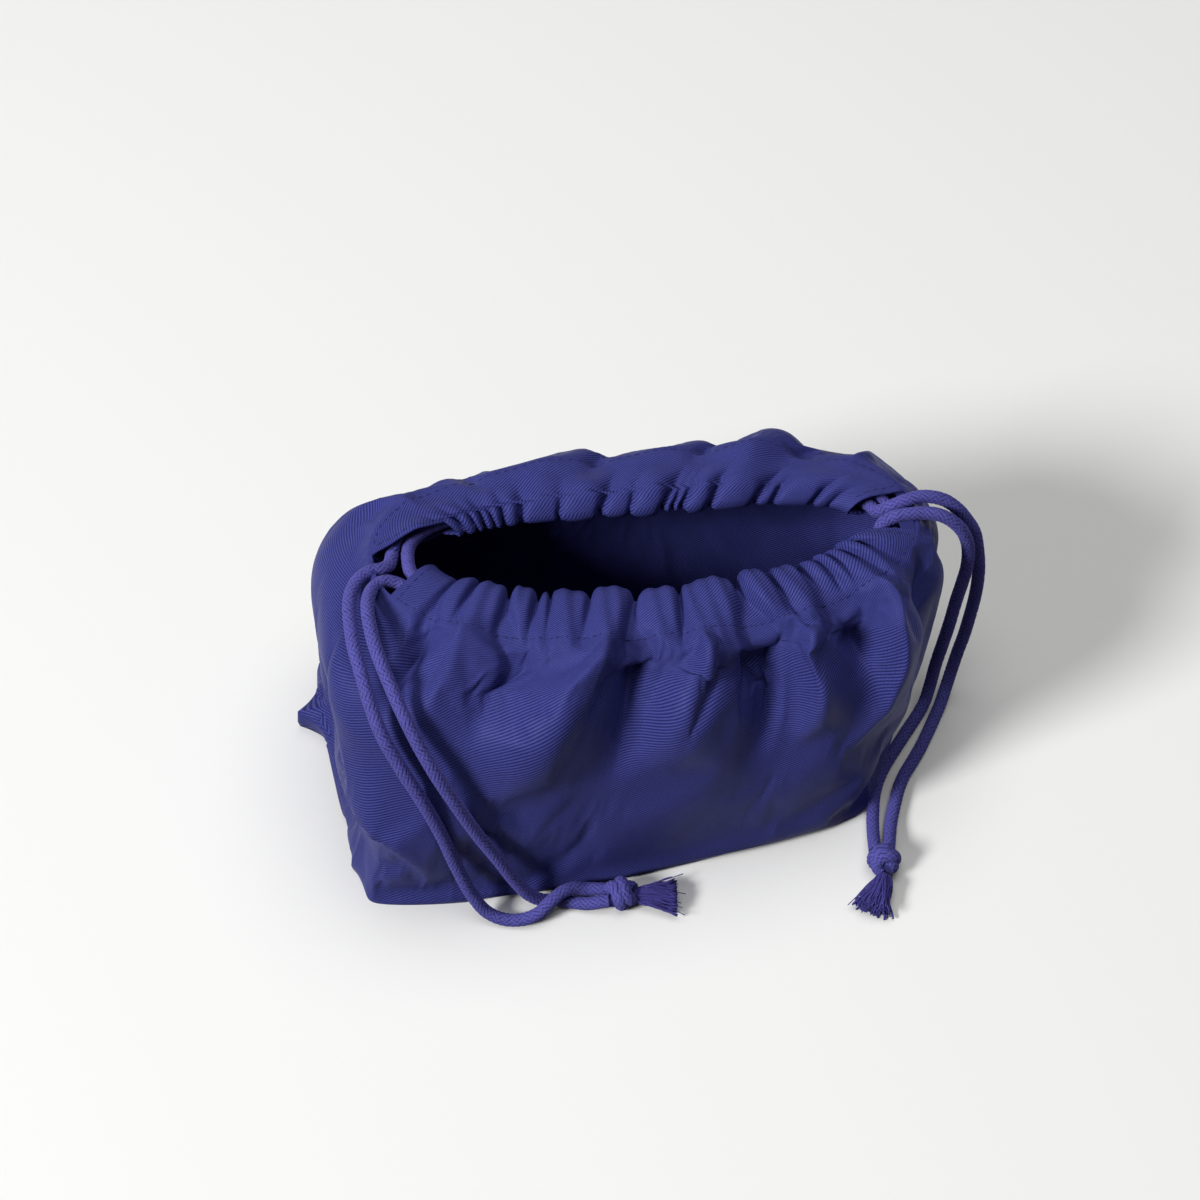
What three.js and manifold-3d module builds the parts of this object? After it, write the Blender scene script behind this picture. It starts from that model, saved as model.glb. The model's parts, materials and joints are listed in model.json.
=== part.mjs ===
// A kinchaku, the Japanese drawstring pouch that a lunch box is carried in: a twill bag with a boxed bottom,
// a casing sewn round its mouth, and two cords that run through the casing from opposite ends, so that
// pulling both draws the mouth shut. It stands open, in the form that it keeps round its box.
//
// Millimetres, +Z up. X runs along the long side of the pouch and -Y is its front. The origin is on the
// surface that it stands on, under the middle of the cloth.

import * as THREE from "three";
import Module from "manifold-3d";
import { mergeVertices } from "three/addons/utils/BufferGeometryUtils.js";

const wasm = await Module();
wasm.setup();

// Driving dimensions of the cloth.
const bodyLength = 236;
const bodyDepth = 126;
const bodyCentre = new THREE.Vector2(1.4, 2.5);
const shoulderHeight = 93;
const clothThickness = 1.5;

// Driving dimensions of the mouth, an oval that sags forwards in the middle.
const mouthLength = 148;
const mouthDepth = 39;
const mouthSag = 5;
const mouthTurn = THREE.MathUtils.degToRad(-2);
const mouthCentre = new THREE.Vector2(9.4, 15);
const mouthSquareness = 2.4;
const rimHeight = 96;
const backRise = 3.5;

// Driving dimensions of the casing, the turned-in hem that holds both cords side by side, and of the slot
// between its front and back halves at each end of the mouth.
const casingWidth = 18;
const casingWall = 2;
const rollWidth = 8;
const slotWidthAtRim = 10;
const slotWidthAtStitching = 18.5;

// Driving dimensions of the cords.
const cordDiameter = 4.5;
const cordClearance = 0.7;

// The fineness of the solids.
const pointsRound = 120;
const outlineSteps = 360;
const channelSteps = 72;
const cordSides = 10;
const casingCordSteps = 48;
const knotSides = 32;

const laneOffset = (cordDiameter + cordClearance) / 2;
const channelWidth = 2 * cordDiameter + 3 * cordClearance;
const channelHeight = cordDiameter + 2 * cordClearance;
const casingThickness = channelHeight + 2 * casingWall;

const { lerp, smoothstep, clamp } = THREE.MathUtils;

// Half turns of a superellipse, each coordinate in -1 to 1: from the left round the front to the right, and
// back round the rear. The squareness may differ between the left end and the right.
function superellipse(leftSquareness, rightSquareness) {
  return Array.from({ length: 2 * outlineSteps + 1 }, (_, i) => {
    const turn = Math.PI * (1 + i / outlineSteps);
    const power = 2 / lerp(leftSquareness, rightSquareness, (1 + Math.cos(turn)) / 2);
    const signed = (x) => Math.sign(x) * Math.abs(x) ** power;
    return [signed(Math.cos(turn)), signed(Math.sin(turn))];
  });
}

// A ring as a function of the share of the way round it. The front takes the shares up to a half and the
// back the rest, so the two side seams stay in line from the floor to the mouth.
function evenRing(outline) {
  const [front, back] = [outline.slice(0, outlineSteps + 1), outline.slice(outlineSteps)].map((points) => {
    const half = new THREE.CatmullRomCurve3(points);
    half.arcLengthDivisions = 2 * outlineSteps;
    return half;
  });
  return (share) => {
    const wrapped = share - Math.floor(share);
    return wrapped < 0.5 ? front.getPointAt(2 * wrapped) : back.getPointAt(2 * wrapped - 1);
  };
}

// A ring of the wall: a rounded outline whose corners are set in from the corners of the body's length and
// depth about its centre, with a front that bows out towards the left.
function wallRing({ level, frontLeft, frontRight, backRight, backLeft, squareness, bow }) {
  const corner = (sideX, sideY, [inX, inY]) =>
    new THREE.Vector3(
      bodyCentre.x + sideX * (bodyLength / 2 - inX),
      bodyCentre.y + sideY * (bodyDepth / 2 - inY),
      level * shoulderHeight,
    );
  const left = [corner(-1, -1, frontLeft), corner(-1, 1, backLeft)];
  const right = [corner(1, -1, frontRight), corner(1, 1, backRight)];
  const outline = superellipse(...squareness).map(([across, along]) => {
    const onLeft = left[0].clone().lerp(left[1], (1 + along) / 2);
    const onRight = right[0].clone().lerp(right[1], (1 + along) / 2);
    const place = onLeft.lerp(onRight, (1 + across) / 2);
    place.y -= (bow * (1 - across * across) * (1 - 0.6 * across) * (1 - along)) / 2;
    return place;
  });
  return evenRing(outline);
}

// A ring of the mouth, at a distance outwards from the rim, that rises towards the back.
function mouthRing(outwards, height, rise) {
  const outline = superellipse(mouthSquareness, mouthSquareness).map(([across, along]) => {
    const x = (mouthLength / 2 + outwards) * across;
    const y = (mouthDepth / 2 + outwards) * along - mouthSag * (1 - across * across);
    const plan = new THREE.Vector2(x, y).rotateAround(new THREE.Vector2(), mouthTurn).add(mouthCentre);
    return new THREE.Vector3(plan.x, plan.y, height + (rise * backRise * (1 + along)) / 2);
  });
  return evenRing(outline);
}

// The wall, from the floor to the shoulder: up is the share of the way from the floor to the rim, and level
// is the share of the shoulder's height. The right end leans out over a bottom corner that is drawn in, and
// the front left corner stands sharp on the floor.
const wallRings = [
  { up: 0, level: 0, frontLeft: [20, 4], frontRight: [31, 19], backRight: [17, 16], backLeft: [9, 17],
    squareness: [14, 2], bow: 8 },
  { up: 0.03, level: 0.027, frontLeft: [18, 3], frontRight: [28, 17], backRight: [15, 15], backLeft: [8, 16],
    squareness: [14, 2.2], bow: 8 },
  { up: 0.16, level: 0.24, frontLeft: [18, 2], frontRight: [26, 14], backRight: [13, 13], backLeft: [9, 13],
    squareness: [9, 2.6], bow: 5 },
  { up: 0.33, level: 0.5, frontLeft: [18, 3], frontRight: [18, 12], backRight: [10, 8], backLeft: [12, 8],
    squareness: [6, 3.2], bow: 3 },
  { up: 0.49, level: 0.73, frontLeft: [15, 6], frontRight: [11, 12], backRight: [6, 6], backLeft: [11, 4],
    squareness: [5, 3.8], bow: 2 },
  { up: 0.6, level: 0.89, frontLeft: [12, 11], frontRight: [7, 17], backRight: [5, 8], backLeft: [10, 4],
    squareness: [4.2, 3.8], bow: 1 },
  { up: 0.7, level: 1, frontLeft: [15, 19], frontRight: [9, 25], backRight: [8, 10], backLeft: [15, 6],
    squareness: [3.6, 3.4], bow: 0 },
].map((ring) => ({ up: ring.up, thickness: clothThickness, at: wallRing(ring) }));

// The roll of cloth behind the stitching, and the casing from its stitching to the rim.
const stitchingUp = 0.84;
const crestUp = 0.92;
const mouthRings = [
  { up: 0.78, outwards: casingWidth + rollWidth, lift: 1, rise: 1, thickness: clothThickness },
  { up: stitchingUp, outwards: casingWidth, lift: 0, rise: 0.9, thickness: 1.4 * clothThickness },
  { up: 0.87, outwards: 0.84 * casingWidth, lift: 2.9, rise: 0.8, thickness: 0.8 * casingThickness },
  { up: crestUp, outwards: 0.5 * casingWidth, lift: 3.8, rise: 0.5, thickness: casingThickness },
  { up: 0.97, outwards: 0.16 * casingWidth, lift: 3.3, rise: 0.2, thickness: 0.8 * casingThickness },
  { up: 1, outwards: 0, lift: 1, rise: 0, thickness: 1.7 * clothThickness },
].map(({ up, outwards, lift, rise, thickness }) => ({
  up, thickness, at: mouthRing(outwards, rimHeight + lift, rise),
}));
const rings = [...wallRings, ...mouthRings];

// The outside without its gathers, as a smooth surface through the rings.
function smoothSurface(share, up) {
  let i = 0;
  while (i < rings.length - 2 && up > rings[i + 1].up) i++;
  const points = rings.map(({ at }) => at(share));
  const slope = (k) => {
    const [before, after] = [Math.max(k - 1, 0), Math.min(k + 1, rings.length - 1)];
    return points[after].clone().sub(points[before]).divideScalar(rings[after].up - rings[before].up);
  };
  const step = rings[i + 1].up - rings[i].up;
  const t = (up - rings[i].up) / step;
  return new THREE.Vector3()
    .addScaledVector(points[i], 2 * t ** 3 - 3 * t ** 2 + 1)
    .addScaledVector(slope(i), step * (t ** 3 - 2 * t ** 2 + t))
    .addScaledVector(points[i + 1], 3 * t ** 2 - 2 * t ** 3)
    .addScaledVector(slope(i + 1), step * (t ** 3 - t ** 2));
}

function outwardNormal(share, up) {
  const [aside, above] = [1 / outlineSteps, 0.004];
  const round = smoothSurface(share + aside, up).sub(smoothSurface(share - aside, up));
  const [low, high] = [Math.max(up - above, 0), Math.min(up + above, 1)];
  const rising = smoothSurface(share, high).sub(smoothSurface(share, low));
  return round.cross(rising).normalize();
}

// The deep folds that hang from the casing, and the creases of the corners. Each runs from a top to a foot,
// given as shares of the way round and of the way up, and stands out by its height or sinks in by it.
const folds = [
  { top: [0.12, 0.8], foot: [0.137, 0.66], width: 0.012, height: -5 },
  { top: [0.206, 0.8], foot: [0.15, 0.5], width: 0.024, height: 4.5 },
  { top: [0.231, 0.79], foot: [0.219, 0.43], width: 0.011, height: -6 },
  { top: [0.276, 0.8], foot: [0.236, 0.52], width: 0.02, height: 4.5 },
  { top: [0.322, 0.79], foot: [0.31, 0.42], width: 0.016, height: -8 },
  { top: [0.346, 0.8], foot: [0.33, 0.47], width: 0.012, height: 4 },
  { top: [0.386, 0.79], foot: [0.366, 0.57], width: 0.014, height: -7 },
  { top: [0.418, 0.8], foot: [0.385, 0.42], width: 0.012, height: 4.5 },
  { top: [0.02, 0.86], foot: [0.026, 0.66], width: 0.018, height: -3 },
  { top: [0.028, 0.72], foot: [0.036, 0.16], width: 0.01, height: -4 },
  { top: [0.502, 0.86], foot: [0.502, 0.74], width: 0.018, height: -3 },
  { top: [0.575, 0.8], foot: [0.56, 0.6], width: 0.016, height: 2 },
  { top: [0.612, 0.79], foot: [0.607, 0.74], width: 0.02, height: -7 },
  { top: [0.66, 0.8], foot: [0.644, 0.5], width: 0.024, height: 4 },
  { top: [0.69, 0.79], foot: [0.682, 0.75], width: 0.012, height: -4 },
  { top: [0.73, 0.79], foot: [0.704, 0.5], width: 0.022, height: 1.5 },
  { top: [0.785, 0.79], foot: [0.76, 0.6], width: 0.018, height: -3 },
  { top: [0.84, 0.8], foot: [0.81, 0.56], width: 0.016, height: 2 },
  { top: [0.885, 0.79], foot: [0.86, 0.66], width: 0.012, height: -5 },
  { top: [0.966, 0.14], foot: [0.966, -0.03], width: 0.016, height: 9 },
  { top: [0.47, 0.16], foot: [0.475, 0.04], width: 0.014, height: 4 },
];
const foldFade = 0.1;
const foldFadeAtTop = 0.03;

function foldHeight(share, up) {
  return folds.reduce((sum, { top, foot, width, height }) => {
    const along = clamp((up - foot[1]) / (top[1] - foot[1]), 0, 1);
    const aside = share - lerp(foot[0], top[0], along);
    const nearest = aside - Math.round(aside);
    const fade = smoothstep(up, foot[1] - foldFade, foot[1] + foldFade);
    const fadeAtTop = 1 - smoothstep(up, top[1] - foldFadeAtTop, top[1] + foldFadeAtTop);
    return sum + height * fade * fadeAtTop * Math.exp(-((nearest / width) ** 2));
  }, 0);
}

// The small puckers that the drawn cords gather the casing into. The cloth is pinched in at each of these
// shares of the way round, and puffs out between them.
const pinches = [
  0.005, 0.022, 0.04, 0.065, 0.093, 0.12, 0.157, 0.179, 0.205, 0.231, 0.262, 0.29, 0.322, 0.352, 0.388,
  0.43, 0.46, 0.485, 0.502, 0.52, 0.545, 0.575, 0.61, 0.65, 0.682, 0.72, 0.765, 0.795, 0.826, 0.857,
  0.883, 0.91, 0.935, 0.965,
];
const pinchWidth = 0.01;
const puckerHeight = 3.2;

function puckerHeightAt(share, up) {
  const pinched = pinches.reduce((sum, pinch) => {
    const aside = share - pinch;
    return sum + Math.exp(-(((aside - Math.round(aside)) / pinchWidth) ** 2));
  }, 0);
  const strength = smoothstep(up, 0.62, stitchingUp) * (1 - 0.3 * smoothstep(up, stitchingUp, crestUp));
  return puckerHeight * strength * (1 - Math.min(pinched, 1));
}

function thicknessAt(up) {
  const above = Math.max(rings.findIndex((ring) => ring.up >= up), 1);
  const [low, high] = [rings[above - 1], rings[above]];
  return lerp(low.thickness, high.thickness, (up - low.up) / (high.up - low.up));
}

const outside = (share, up) =>
  smoothSurface(share, up).addScaledVector(
    outwardNormal(share, up),
    foldHeight(share, up) + puckerHeightAt(share, up),
  );
// The underside of the casing lies squarely below its crest, so that the channel keeps its walls.
const inside = (share, up) =>
  smoothSurface(share, up)
    .addScaledVector(outwardNormal(share, up), foldHeight(share, up))
    .addScaledVector(outwardNormal(share, up > stitchingUp ? crestUp : up), -thicknessAt(up));

// A closed mesh over rows of points. The rows join end to end where the skin is a loop, and otherwise the
// first and the last row close on a point each.
function skin(rows, ends) {
  const count = rows[0].length;
  const positions = rows.flat().flatMap((point) => point.toArray());
  const index = [];
  const at = (i, j) => (j % rows.length) * count + (i % count);
  for (let j = 0; j < (ends ? rows.length - 1 : rows.length); j++)
    for (let i = 0; i < count; i++) {
      index.push(at(i, j), at(i + 1, j), at(i + 1, j + 1));
      index.push(at(i, j), at(i + 1, j + 1), at(i, j + 1));
    }
  if (ends) {
    const [first, last] = [positions.length / 3, positions.length / 3 + 1];
    positions.push(...ends[0].toArray(), ...ends[1].toArray());
    for (let i = 0; i < count; i++) {
      index.push(first, at(i + 1, 0), at(i, 0));
      index.push(at(i, rows.length - 1), at(i + 1, rows.length - 1), last);
    }
  }
  const geometry = new THREE.BufferGeometry();
  geometry.setAttribute("position", new THREE.Float32BufferAttribute(positions, 3));
  geometry.setIndex(index);
  return geometry;
}

function toSolid(geometry) {
  const bare = geometry.clone();
  bare.deleteAttribute("normal");
  bare.deleteAttribute("uv");
  const merged = mergeVertices(bare, 1e-4);
  return new wasm.Manifold(
    new wasm.Mesh({
      numProp: 3,
      vertProperties: merged.attributes.position.array,
      triVerts: new Uint32Array(merged.index.array),
    }),
  );
}

function toGeometry(solid) {
  const { vertProperties, triVerts } = solid.getMesh();
  const geometry = new THREE.BufferGeometry();
  geometry.setAttribute("position", new THREE.BufferAttribute(vertProperties, 3));
  geometry.setIndex(new THREE.BufferAttribute(triVerts, 1));
  geometry.computeVertexNormals();
  return geometry;
}

// The middle line of the casing's channel, or a line beside it, with the directions across and above it.
function channelFrame(share) {
  const above = outwardNormal(share, crestUp);
  const middle = smoothSurface(share, crestUp).addScaledVector(above, -casingThickness / 2);
  const step = 1 / outlineSteps;
  const forward = smoothSurface(share + step, crestUp).sub(smoothSurface(share - step, crestUp)).normalize();
  return { middle, above, outwards: forward.cross(above).normalize() };
}
const besideChannel = (share, offset) => {
  const { middle, outwards } = channelFrame(share);
  return middle.addScaledVector(outwards, offset);
};

// The channel that the cords run in, all the way round: a flat passage with cut corners.
function channelSolid() {
  const [halfWidth, halfHeight, cut] = [channelWidth / 2, channelHeight / 2, cordDiameter / 4];
  const section = [
    [-halfWidth, halfHeight - cut], [-halfWidth + cut, halfHeight],
    [halfWidth - cut, halfHeight], [halfWidth, halfHeight - cut],
    [halfWidth, cut - halfHeight], [halfWidth - cut, -halfHeight],
    [-halfWidth + cut, -halfHeight], [-halfWidth, cut - halfHeight],
  ];
  const rows = Array.from({ length: channelSteps }, (_, j) => {
    const { middle, above, outwards } = channelFrame(j / channelSteps);
    return section.map(([across, up]) =>
      middle.clone().addScaledVector(outwards, across).addScaledVector(above, up),
    );
  });
  return toSolid(skin(rows));
}

// The slots at the two ends of the mouth, where the casing's halves stop short of the side seams. Each is
// given by the shares of the way round at which it meets the rim and the stitching.
const leftSlot = { rim: -0.008, stitching: 0.02 };
const rightSlot = { rim: 0.498, stitching: 0.502 };

function slotSolid({ rim, stitching }) {
  const [past, below] = [12, 14];
  const atRim = smoothSurface(rim, 1);
  const atStitching = smoothSurface(stitching, stitchingUp);
  const outwards = new THREE.Vector3(atStitching.x - atRim.x, atStitching.y - atRim.y, 0).normalize();
  const aside = new THREE.Vector3(-outwards.y, outwards.x, 0);
  const start = atRim.clone().addScaledVector(outwards, -past);
  const outline = [
    start.clone().addScaledVector(aside, -slotWidthAtRim / 2),
    atStitching.clone().addScaledVector(aside, -slotWidthAtStitching / 2),
    atStitching.clone().addScaledVector(aside, slotWidthAtStitching / 2),
    start.clone().addScaledVector(aside, slotWidthAtRim / 2),
  ];
  const shape = new THREE.Shape(outline.map(({ x, y }) => new THREE.Vector2(x, y)));
  const prism = new THREE.ExtrudeGeometry(shape, { depth: 3 * below, bevelEnabled: false });
  return toSolid(prism.translate(0, 0, rimHeight - below));
}

// The cloth body: one shell from the floor up its outside, over the rim and down its inside.
function pouchBody() {
  const outsideUps = [0, 0.03, 0.16, 0.25, 0.33, 0.41, 0.49, 0.55, 0.6, 0.65, 0.7, 0.74, 0.78,
    0.815, stitchingUp, 0.87, crestUp, 0.97, 1];
  const insideUps = [1, 0.97, crestUp, 0.87, stitchingUp, 0.78, 0.7, 0.6, 0.49, 0.33, 0.16, 0.03];
  const roundOnce = Array.from({ length: pointsRound }, (_, i) => i / pointsRound);
  const rows = [
    ...outsideUps.map((up) => roundOnce.map((share) => outside(share, up))),
    ...insideUps.map((up) => roundOnce.map((share) => inside(share, up))),
  ];
  for (const point of rows[0]) point.z = 0;
  rows.push(rows.at(-1).map(({ x, y }) => new THREE.Vector3(x, y, clothThickness)));
  const ends = [new THREE.Vector3(0, 0, 0), new THREE.Vector3(0, 0, clothThickness)];
  const shell = toSolid(skin(rows, ends));
  const open = shell.subtract(channelSolid()).subtract(slotSolid(leftSlot)).subtract(slotSolid(rightSlot));
  return toGeometry(open);
}

// A round cord along a smooth line through its points.
function cordAlong(points, steps) {
  const section = new THREE.Shape();
  section.absarc(0, 0, cordDiameter / 2, 0, 2 * Math.PI);
  return new THREE.ExtrudeGeometry(section, {
    curveSegments: cordSides / 2,
    steps,
    extrudePath: new THREE.CatmullRomCurve3(points),
  });
}

// The run of a cord inside the casing, nearly once round, between two shares of the way round. The left cord
// has the outer lane and the right cord the inner one. Each crosses the other's slot, where the left cord
// dips to let the ends of the right one out above it.
const slotDip = 2.2;
const slotDipWidth = 0.013;

function casingCord({ from, to, lane, dip }) {
  const points = Array.from({ length: 2 * casingCordSteps + 1 }, (_, i) => {
    const share = lerp(from, to, i / (2 * casingCordSteps));
    const point = besideChannel(share, lane * laneOffset);
    point.z -= dip * Math.exp(-(((share - rightSlot.stitching) / slotDipWidth) ** 2));
    return point;
  });
  return cordAlong(points, casingCordSteps);
}
const leftRun = { from: 0.044, to: 0.991, lane: 1, dip: slotDip };
const rightRun = { from: 0.532, to: 1.472, lane: -1, dip: 0 };

// The free ends of the cords, from the slot to the knot. The left pair lies on the front of the pouch and
// runs out on the floor, where one end passes over the other. The right pair comes up over the crossing of
// the left cord, hangs clear of the side and runs out on the floor. The points are chosen by hand.
const strandRoutes = {
  left_strand_front: [
    [-69.3, 1.1, 95.3], [-70.9, 2.7, 95.5], [-74.8, 7.4, 96.2], [-79.7, 8, 98], [-83.6, 5.1, 98.9],
    [-85.8, -0.5, 100.3], [-86.4, -7.3, 101.4], [-86, -14.5, 101.3], [-85, -21.9, 100.6],
    [-82.7, -30.7, 97.7], [-79.1, -40.9, 91.8], [-75, -48.7, 83.3], [-70.5, -54.7, 73.9],
    [-64.7, -58.8, 60.5], [-58.4, -61, 44.2], [-51.9, -62.7, 29.3], [-46.2, -64.1, 15.5],
    [-41.6, -64.9, 7], [-37, -65, 3], [-32, -65.3, 2.35], [-26.5, -67.1, 2.35], [-21.4, -68.7, 3],
    [-16.8, -69.4, 4.6],
  ],
  left_strand_back: [
    [-76.2, 21.6, 96], [-76.7, 19.3, 95.9], [-77.8, 15.7, 96.6], [-80.4, 13.7, 97.7], [-83.8, 12.7, 98.4], [-88, 9.7, 98.9],
    [-91.1, 4.5, 98.8], [-92.4, -2.5, 98.9], [-92.5, -10.1, 99.5], [-92.2, -18.1, 99.1],
    [-90.9, -26.7, 97.4], [-89, -36.6, 92], [-86.3, -44.5, 84.8], [-81.3, -51.3, 73.9],
    [-75.7, -56.3, 61.5], [-70.4, -59.7, 44.9], [-65.9, -62.7, 26.4], [-61.6, -65.5, 12.5],
    [-57.2, -68.1, 4.9], [-51.8, -70.3, 2.4], [-45.6, -71.7, 2.9], [-39.8, -71.5, 5.2],
    [-35.2, -69.1, 7.6], [-30.8, -66.1, 8.2], [-26.2, -64, 6.8], [-21.6, -63.7, 4.9],
    [-16.6, -64.3, 4.6],
  ],
  right_strand_front: [
    [87.4, 3.65, 95.4], [88.9, 5.6, 95.4], [90.4, 9, 98.2], [95, 9.7, 100.8], [99.9, 9.9, 101.1],
    [104.6, 10.1, 100.7], [109.1, 9.5, 100.1], [113.5, 8.6, 97.9], [117.2, 7.7, 94.2],
    [120.2, 7.3, 88.6], [122, 7.1, 81.6], [122.5, 6.7, 73], [121.8, 6.6, 64], [120.8, 6.5, 54.5],
    [119.3, 5.3, 42], [117.7, 4.5, 30], [116.4, 4.1, 19.5], [115.1, 2.5, 10.2], [112.9, -0.9, 4.3],
    [109.6, -4.9, 2.4], [105.8, -9.5, 2.35], [101, -15.3, 2.35], [96, -21.5, 2.35], [91.8, -27.1, 2.35],
    [88.4, -32.9, 2.35], [86.2, -38.1, 2.35], [84.7, -43.3, 2.35], [83.5, -48.5, 2.35],
    [82.5, -54.1, 2.9], [81.6, -59.9, 4.4],
  ],
  right_strand_back: [
    [87.3, 21.7, 95.8], [88.8, 20, 95.6], [90.5, 16.2, 96.6], [94.4, 14.7, 100.5],
    [99.7, 15.4, 101.8], [104.7, 16.4, 101.8], [109.3, 16.4, 101], [113.9, 15.9, 99],
    [118.2, 14.9, 95.3], [122, 13.8, 90], [125.2, 12.8, 84], [127.3, 11.9, 75], [128.8, 11.5, 65],
    [129.4, 11.5, 56], [129.4, 11.5, 47], [128.6, 10.8, 38], [127.4, 9.9, 28], [125.6, 8.7, 18.5],
    [123.6, 6.3, 10.5], [121.3, 2.7, 5.2], [118.4, -2.3, 2.6], [114.8, -8.1, 2.35],
    [111.2, -13.8, 2.35], [107.4, -19.5, 2.35], [103.2, -25.1, 2.35], [99, -30.5, 2.35],
    [96, -35.5, 2.35], [93.6, -40.7, 2.35], [91.4, -45.9, 2.35], [89.6, -50.7, 2.4], [88.2, -55.3, 3.1],
    [86.8, -60.1, 4.4],
  ],
};

const strand = (route) => {
  const points = route.map((point) => new THREE.Vector3(...point));
  return cordAlong(points, Math.round(new THREE.CatmullRomCurve3(points).getLength() / (2 * cordDiameter)));
};

// A turned solid that lies along a line, from a start towards a place. The profile gives its radius at each
// distance along the line, flatness is the share of its width that its height keeps, and its side may have
// ribs that run along it.
function lyingSolid({ start, towards, profile, flatness, ribs, ribDepth }) {
  const origin = new THREE.Vector3(...start);
  const forward = new THREE.Vector3(...towards).sub(origin).normalize();
  const aside = new THREE.Vector3(0, 0, 1).cross(forward).normalize();
  const above = forward.clone().cross(aside);
  const onLine = (along) => origin.clone().addScaledVector(forward, along);
  const rows = profile.map(([radius, along]) =>
    Array.from({ length: knotSides }, (_, i) => {
      const angle = (2 * Math.PI * i) / knotSides;
      const ribbed = radius * (1 - ribDepth * (0.5 - 0.5 * Math.cos(ribs * angle)));
      return onLine(along)
        .addScaledVector(aside, ribbed * Math.cos(angle))
        .addScaledVector(above, ribbed * flatness * Math.sin(angle));
    }),
  );
  return toGeometry(toSolid(skin(rows, [onLine(profile[0][1]), onLine(profile.at(-1)[1])])));
}

// The overhand knot that ties the two ends of a cord together: two humps with a waist between them.
const knotProfile = [
  [3.9, 0], [4.9, 1], [5.25, 2.8], [4.9, 4.4], [4.3, 5.6], [4.9, 6.9], [5.25, 8.6], [4.7, 10.2], [3.2, 11.3],
];
const knot = (start, towards) =>
  lyingSolid({ start, towards, profile: knotProfile, flatness: 1, ribs: 0, ribDepth: 0 });

// The frayed ends beyond the knot: a brush that spreads and lies flat on the floor.
const tasselProfile = [[2.2, 0], [3.1, 1.6], [4.4, 4.4], [5.4, 8], [5.9, 11.6], [5.3, 14.4], [4, 15]];
const tassel = (start, towards) =>
  lyingSolid({ start, towards, profile: tasselProfile, flatness: 0.6, ribs: 8, ribDepth: 0.16 });

const cloth = new THREE.MeshStandardMaterial({ color: 0x37327c, roughness: 0.7, side: THREE.DoubleSide });
const cord = new THREE.MeshStandardMaterial({ color: 0x2f2660, roughness: 0.85 });

const pouch = new THREE.Group();
function addPiece(name, geometry, material) {
  const mesh = new THREE.Mesh(geometry, material);
  mesh.name = name;
  pouch.add(mesh);
}

addPiece("pouch_body", pouchBody(), cloth);
addPiece("left_cord_in_casing", casingCord(leftRun), cord);
addPiece("right_cord_in_casing", casingCord(rightRun), cord);
for (const [name, route] of Object.entries(strandRoutes)) addPiece(name, strand(route), cord);
addPiece("left_knot", knot([-15.7, -67, 5.3], [-4.3, -68, 5.3]), cord);
addPiece("left_tassel", tassel([-3.8, -68.2, 3.9], [11, -70.2, 3.7]), cord);
addPiece("right_knot", knot([84.2, -61.1, 5.3], [82.8, -72, 5.3]), cord);
addPiece("right_tassel", tassel([82.2, -73.9, 3.9], [75.6, -84.5, 3.7]), cord);

export default pouch;
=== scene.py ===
# %% [markdown]
# # A drawstring pouch in indigo twill
#
# This pouch is sewn from one kind of cotton cloth, with a boxed bottom, a seam at each end and a turned-in
# casing round its mouth. Two cords run in the casing and pull it shut from both ends. It stands open on a
# pale floor.
#
# Its cloth is one surface, laid out by two shares: how far round the pouch a point lies, and how far up from
# the floor to the rim. Round it, 0 is the left seam, 0.25 the middle of the front, 0.5 the right seam and
# 0.75 the middle of the back. Folds, gathers, stitches and the weave all use these two shares, so each
# follows the others.
#
# Lengths are in millimetres while the shapes are worked out, and in metres on the meshes.

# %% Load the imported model
import json
import math

import bmesh
import bpy
import numpy as np
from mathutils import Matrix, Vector

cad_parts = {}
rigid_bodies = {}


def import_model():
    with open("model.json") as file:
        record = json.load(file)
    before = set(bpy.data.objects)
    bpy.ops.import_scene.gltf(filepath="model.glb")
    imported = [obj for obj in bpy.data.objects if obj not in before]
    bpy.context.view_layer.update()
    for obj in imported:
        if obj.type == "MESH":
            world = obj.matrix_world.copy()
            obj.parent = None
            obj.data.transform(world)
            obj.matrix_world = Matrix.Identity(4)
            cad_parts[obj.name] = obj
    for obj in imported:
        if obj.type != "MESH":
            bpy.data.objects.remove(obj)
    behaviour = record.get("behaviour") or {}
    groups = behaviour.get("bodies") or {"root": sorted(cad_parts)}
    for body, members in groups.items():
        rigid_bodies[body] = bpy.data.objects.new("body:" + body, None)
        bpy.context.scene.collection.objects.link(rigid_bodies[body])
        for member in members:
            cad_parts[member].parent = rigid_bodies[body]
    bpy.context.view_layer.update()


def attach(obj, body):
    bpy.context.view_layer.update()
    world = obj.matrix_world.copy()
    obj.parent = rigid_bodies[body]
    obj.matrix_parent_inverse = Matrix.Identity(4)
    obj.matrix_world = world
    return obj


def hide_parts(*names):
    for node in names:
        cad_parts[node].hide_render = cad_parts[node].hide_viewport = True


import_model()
scene = bpy.context.scene
chance = np.random.default_rng(7)
MM = 1000  # in a metre


# %% [markdown]
# ## Camera
#
# The camera looks down on the front from the left at about forty degrees. A narrow field of view, like that
# of a long lens, keeps the pouch's near and far sides close to the same size.

# %% Camera
CAMERA_PLACE, CAMERA_TARGET = (-0.0807, -0.5175, 0.7542), (-0.0036, 0.0312, 0.045)
HALF_FRAME, FOCAL_LENGTH = 600, 2500  # in the photograph's pixels


def aim(thing, place, target):
    """Puts a camera or a lamp in its place, facing a target."""
    thing.location = place
    thing.rotation_euler = (Vector(target) - Vector(place)).to_track_quat("-Z", "Y").to_euler()
    scene.collection.objects.link(thing)


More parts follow.
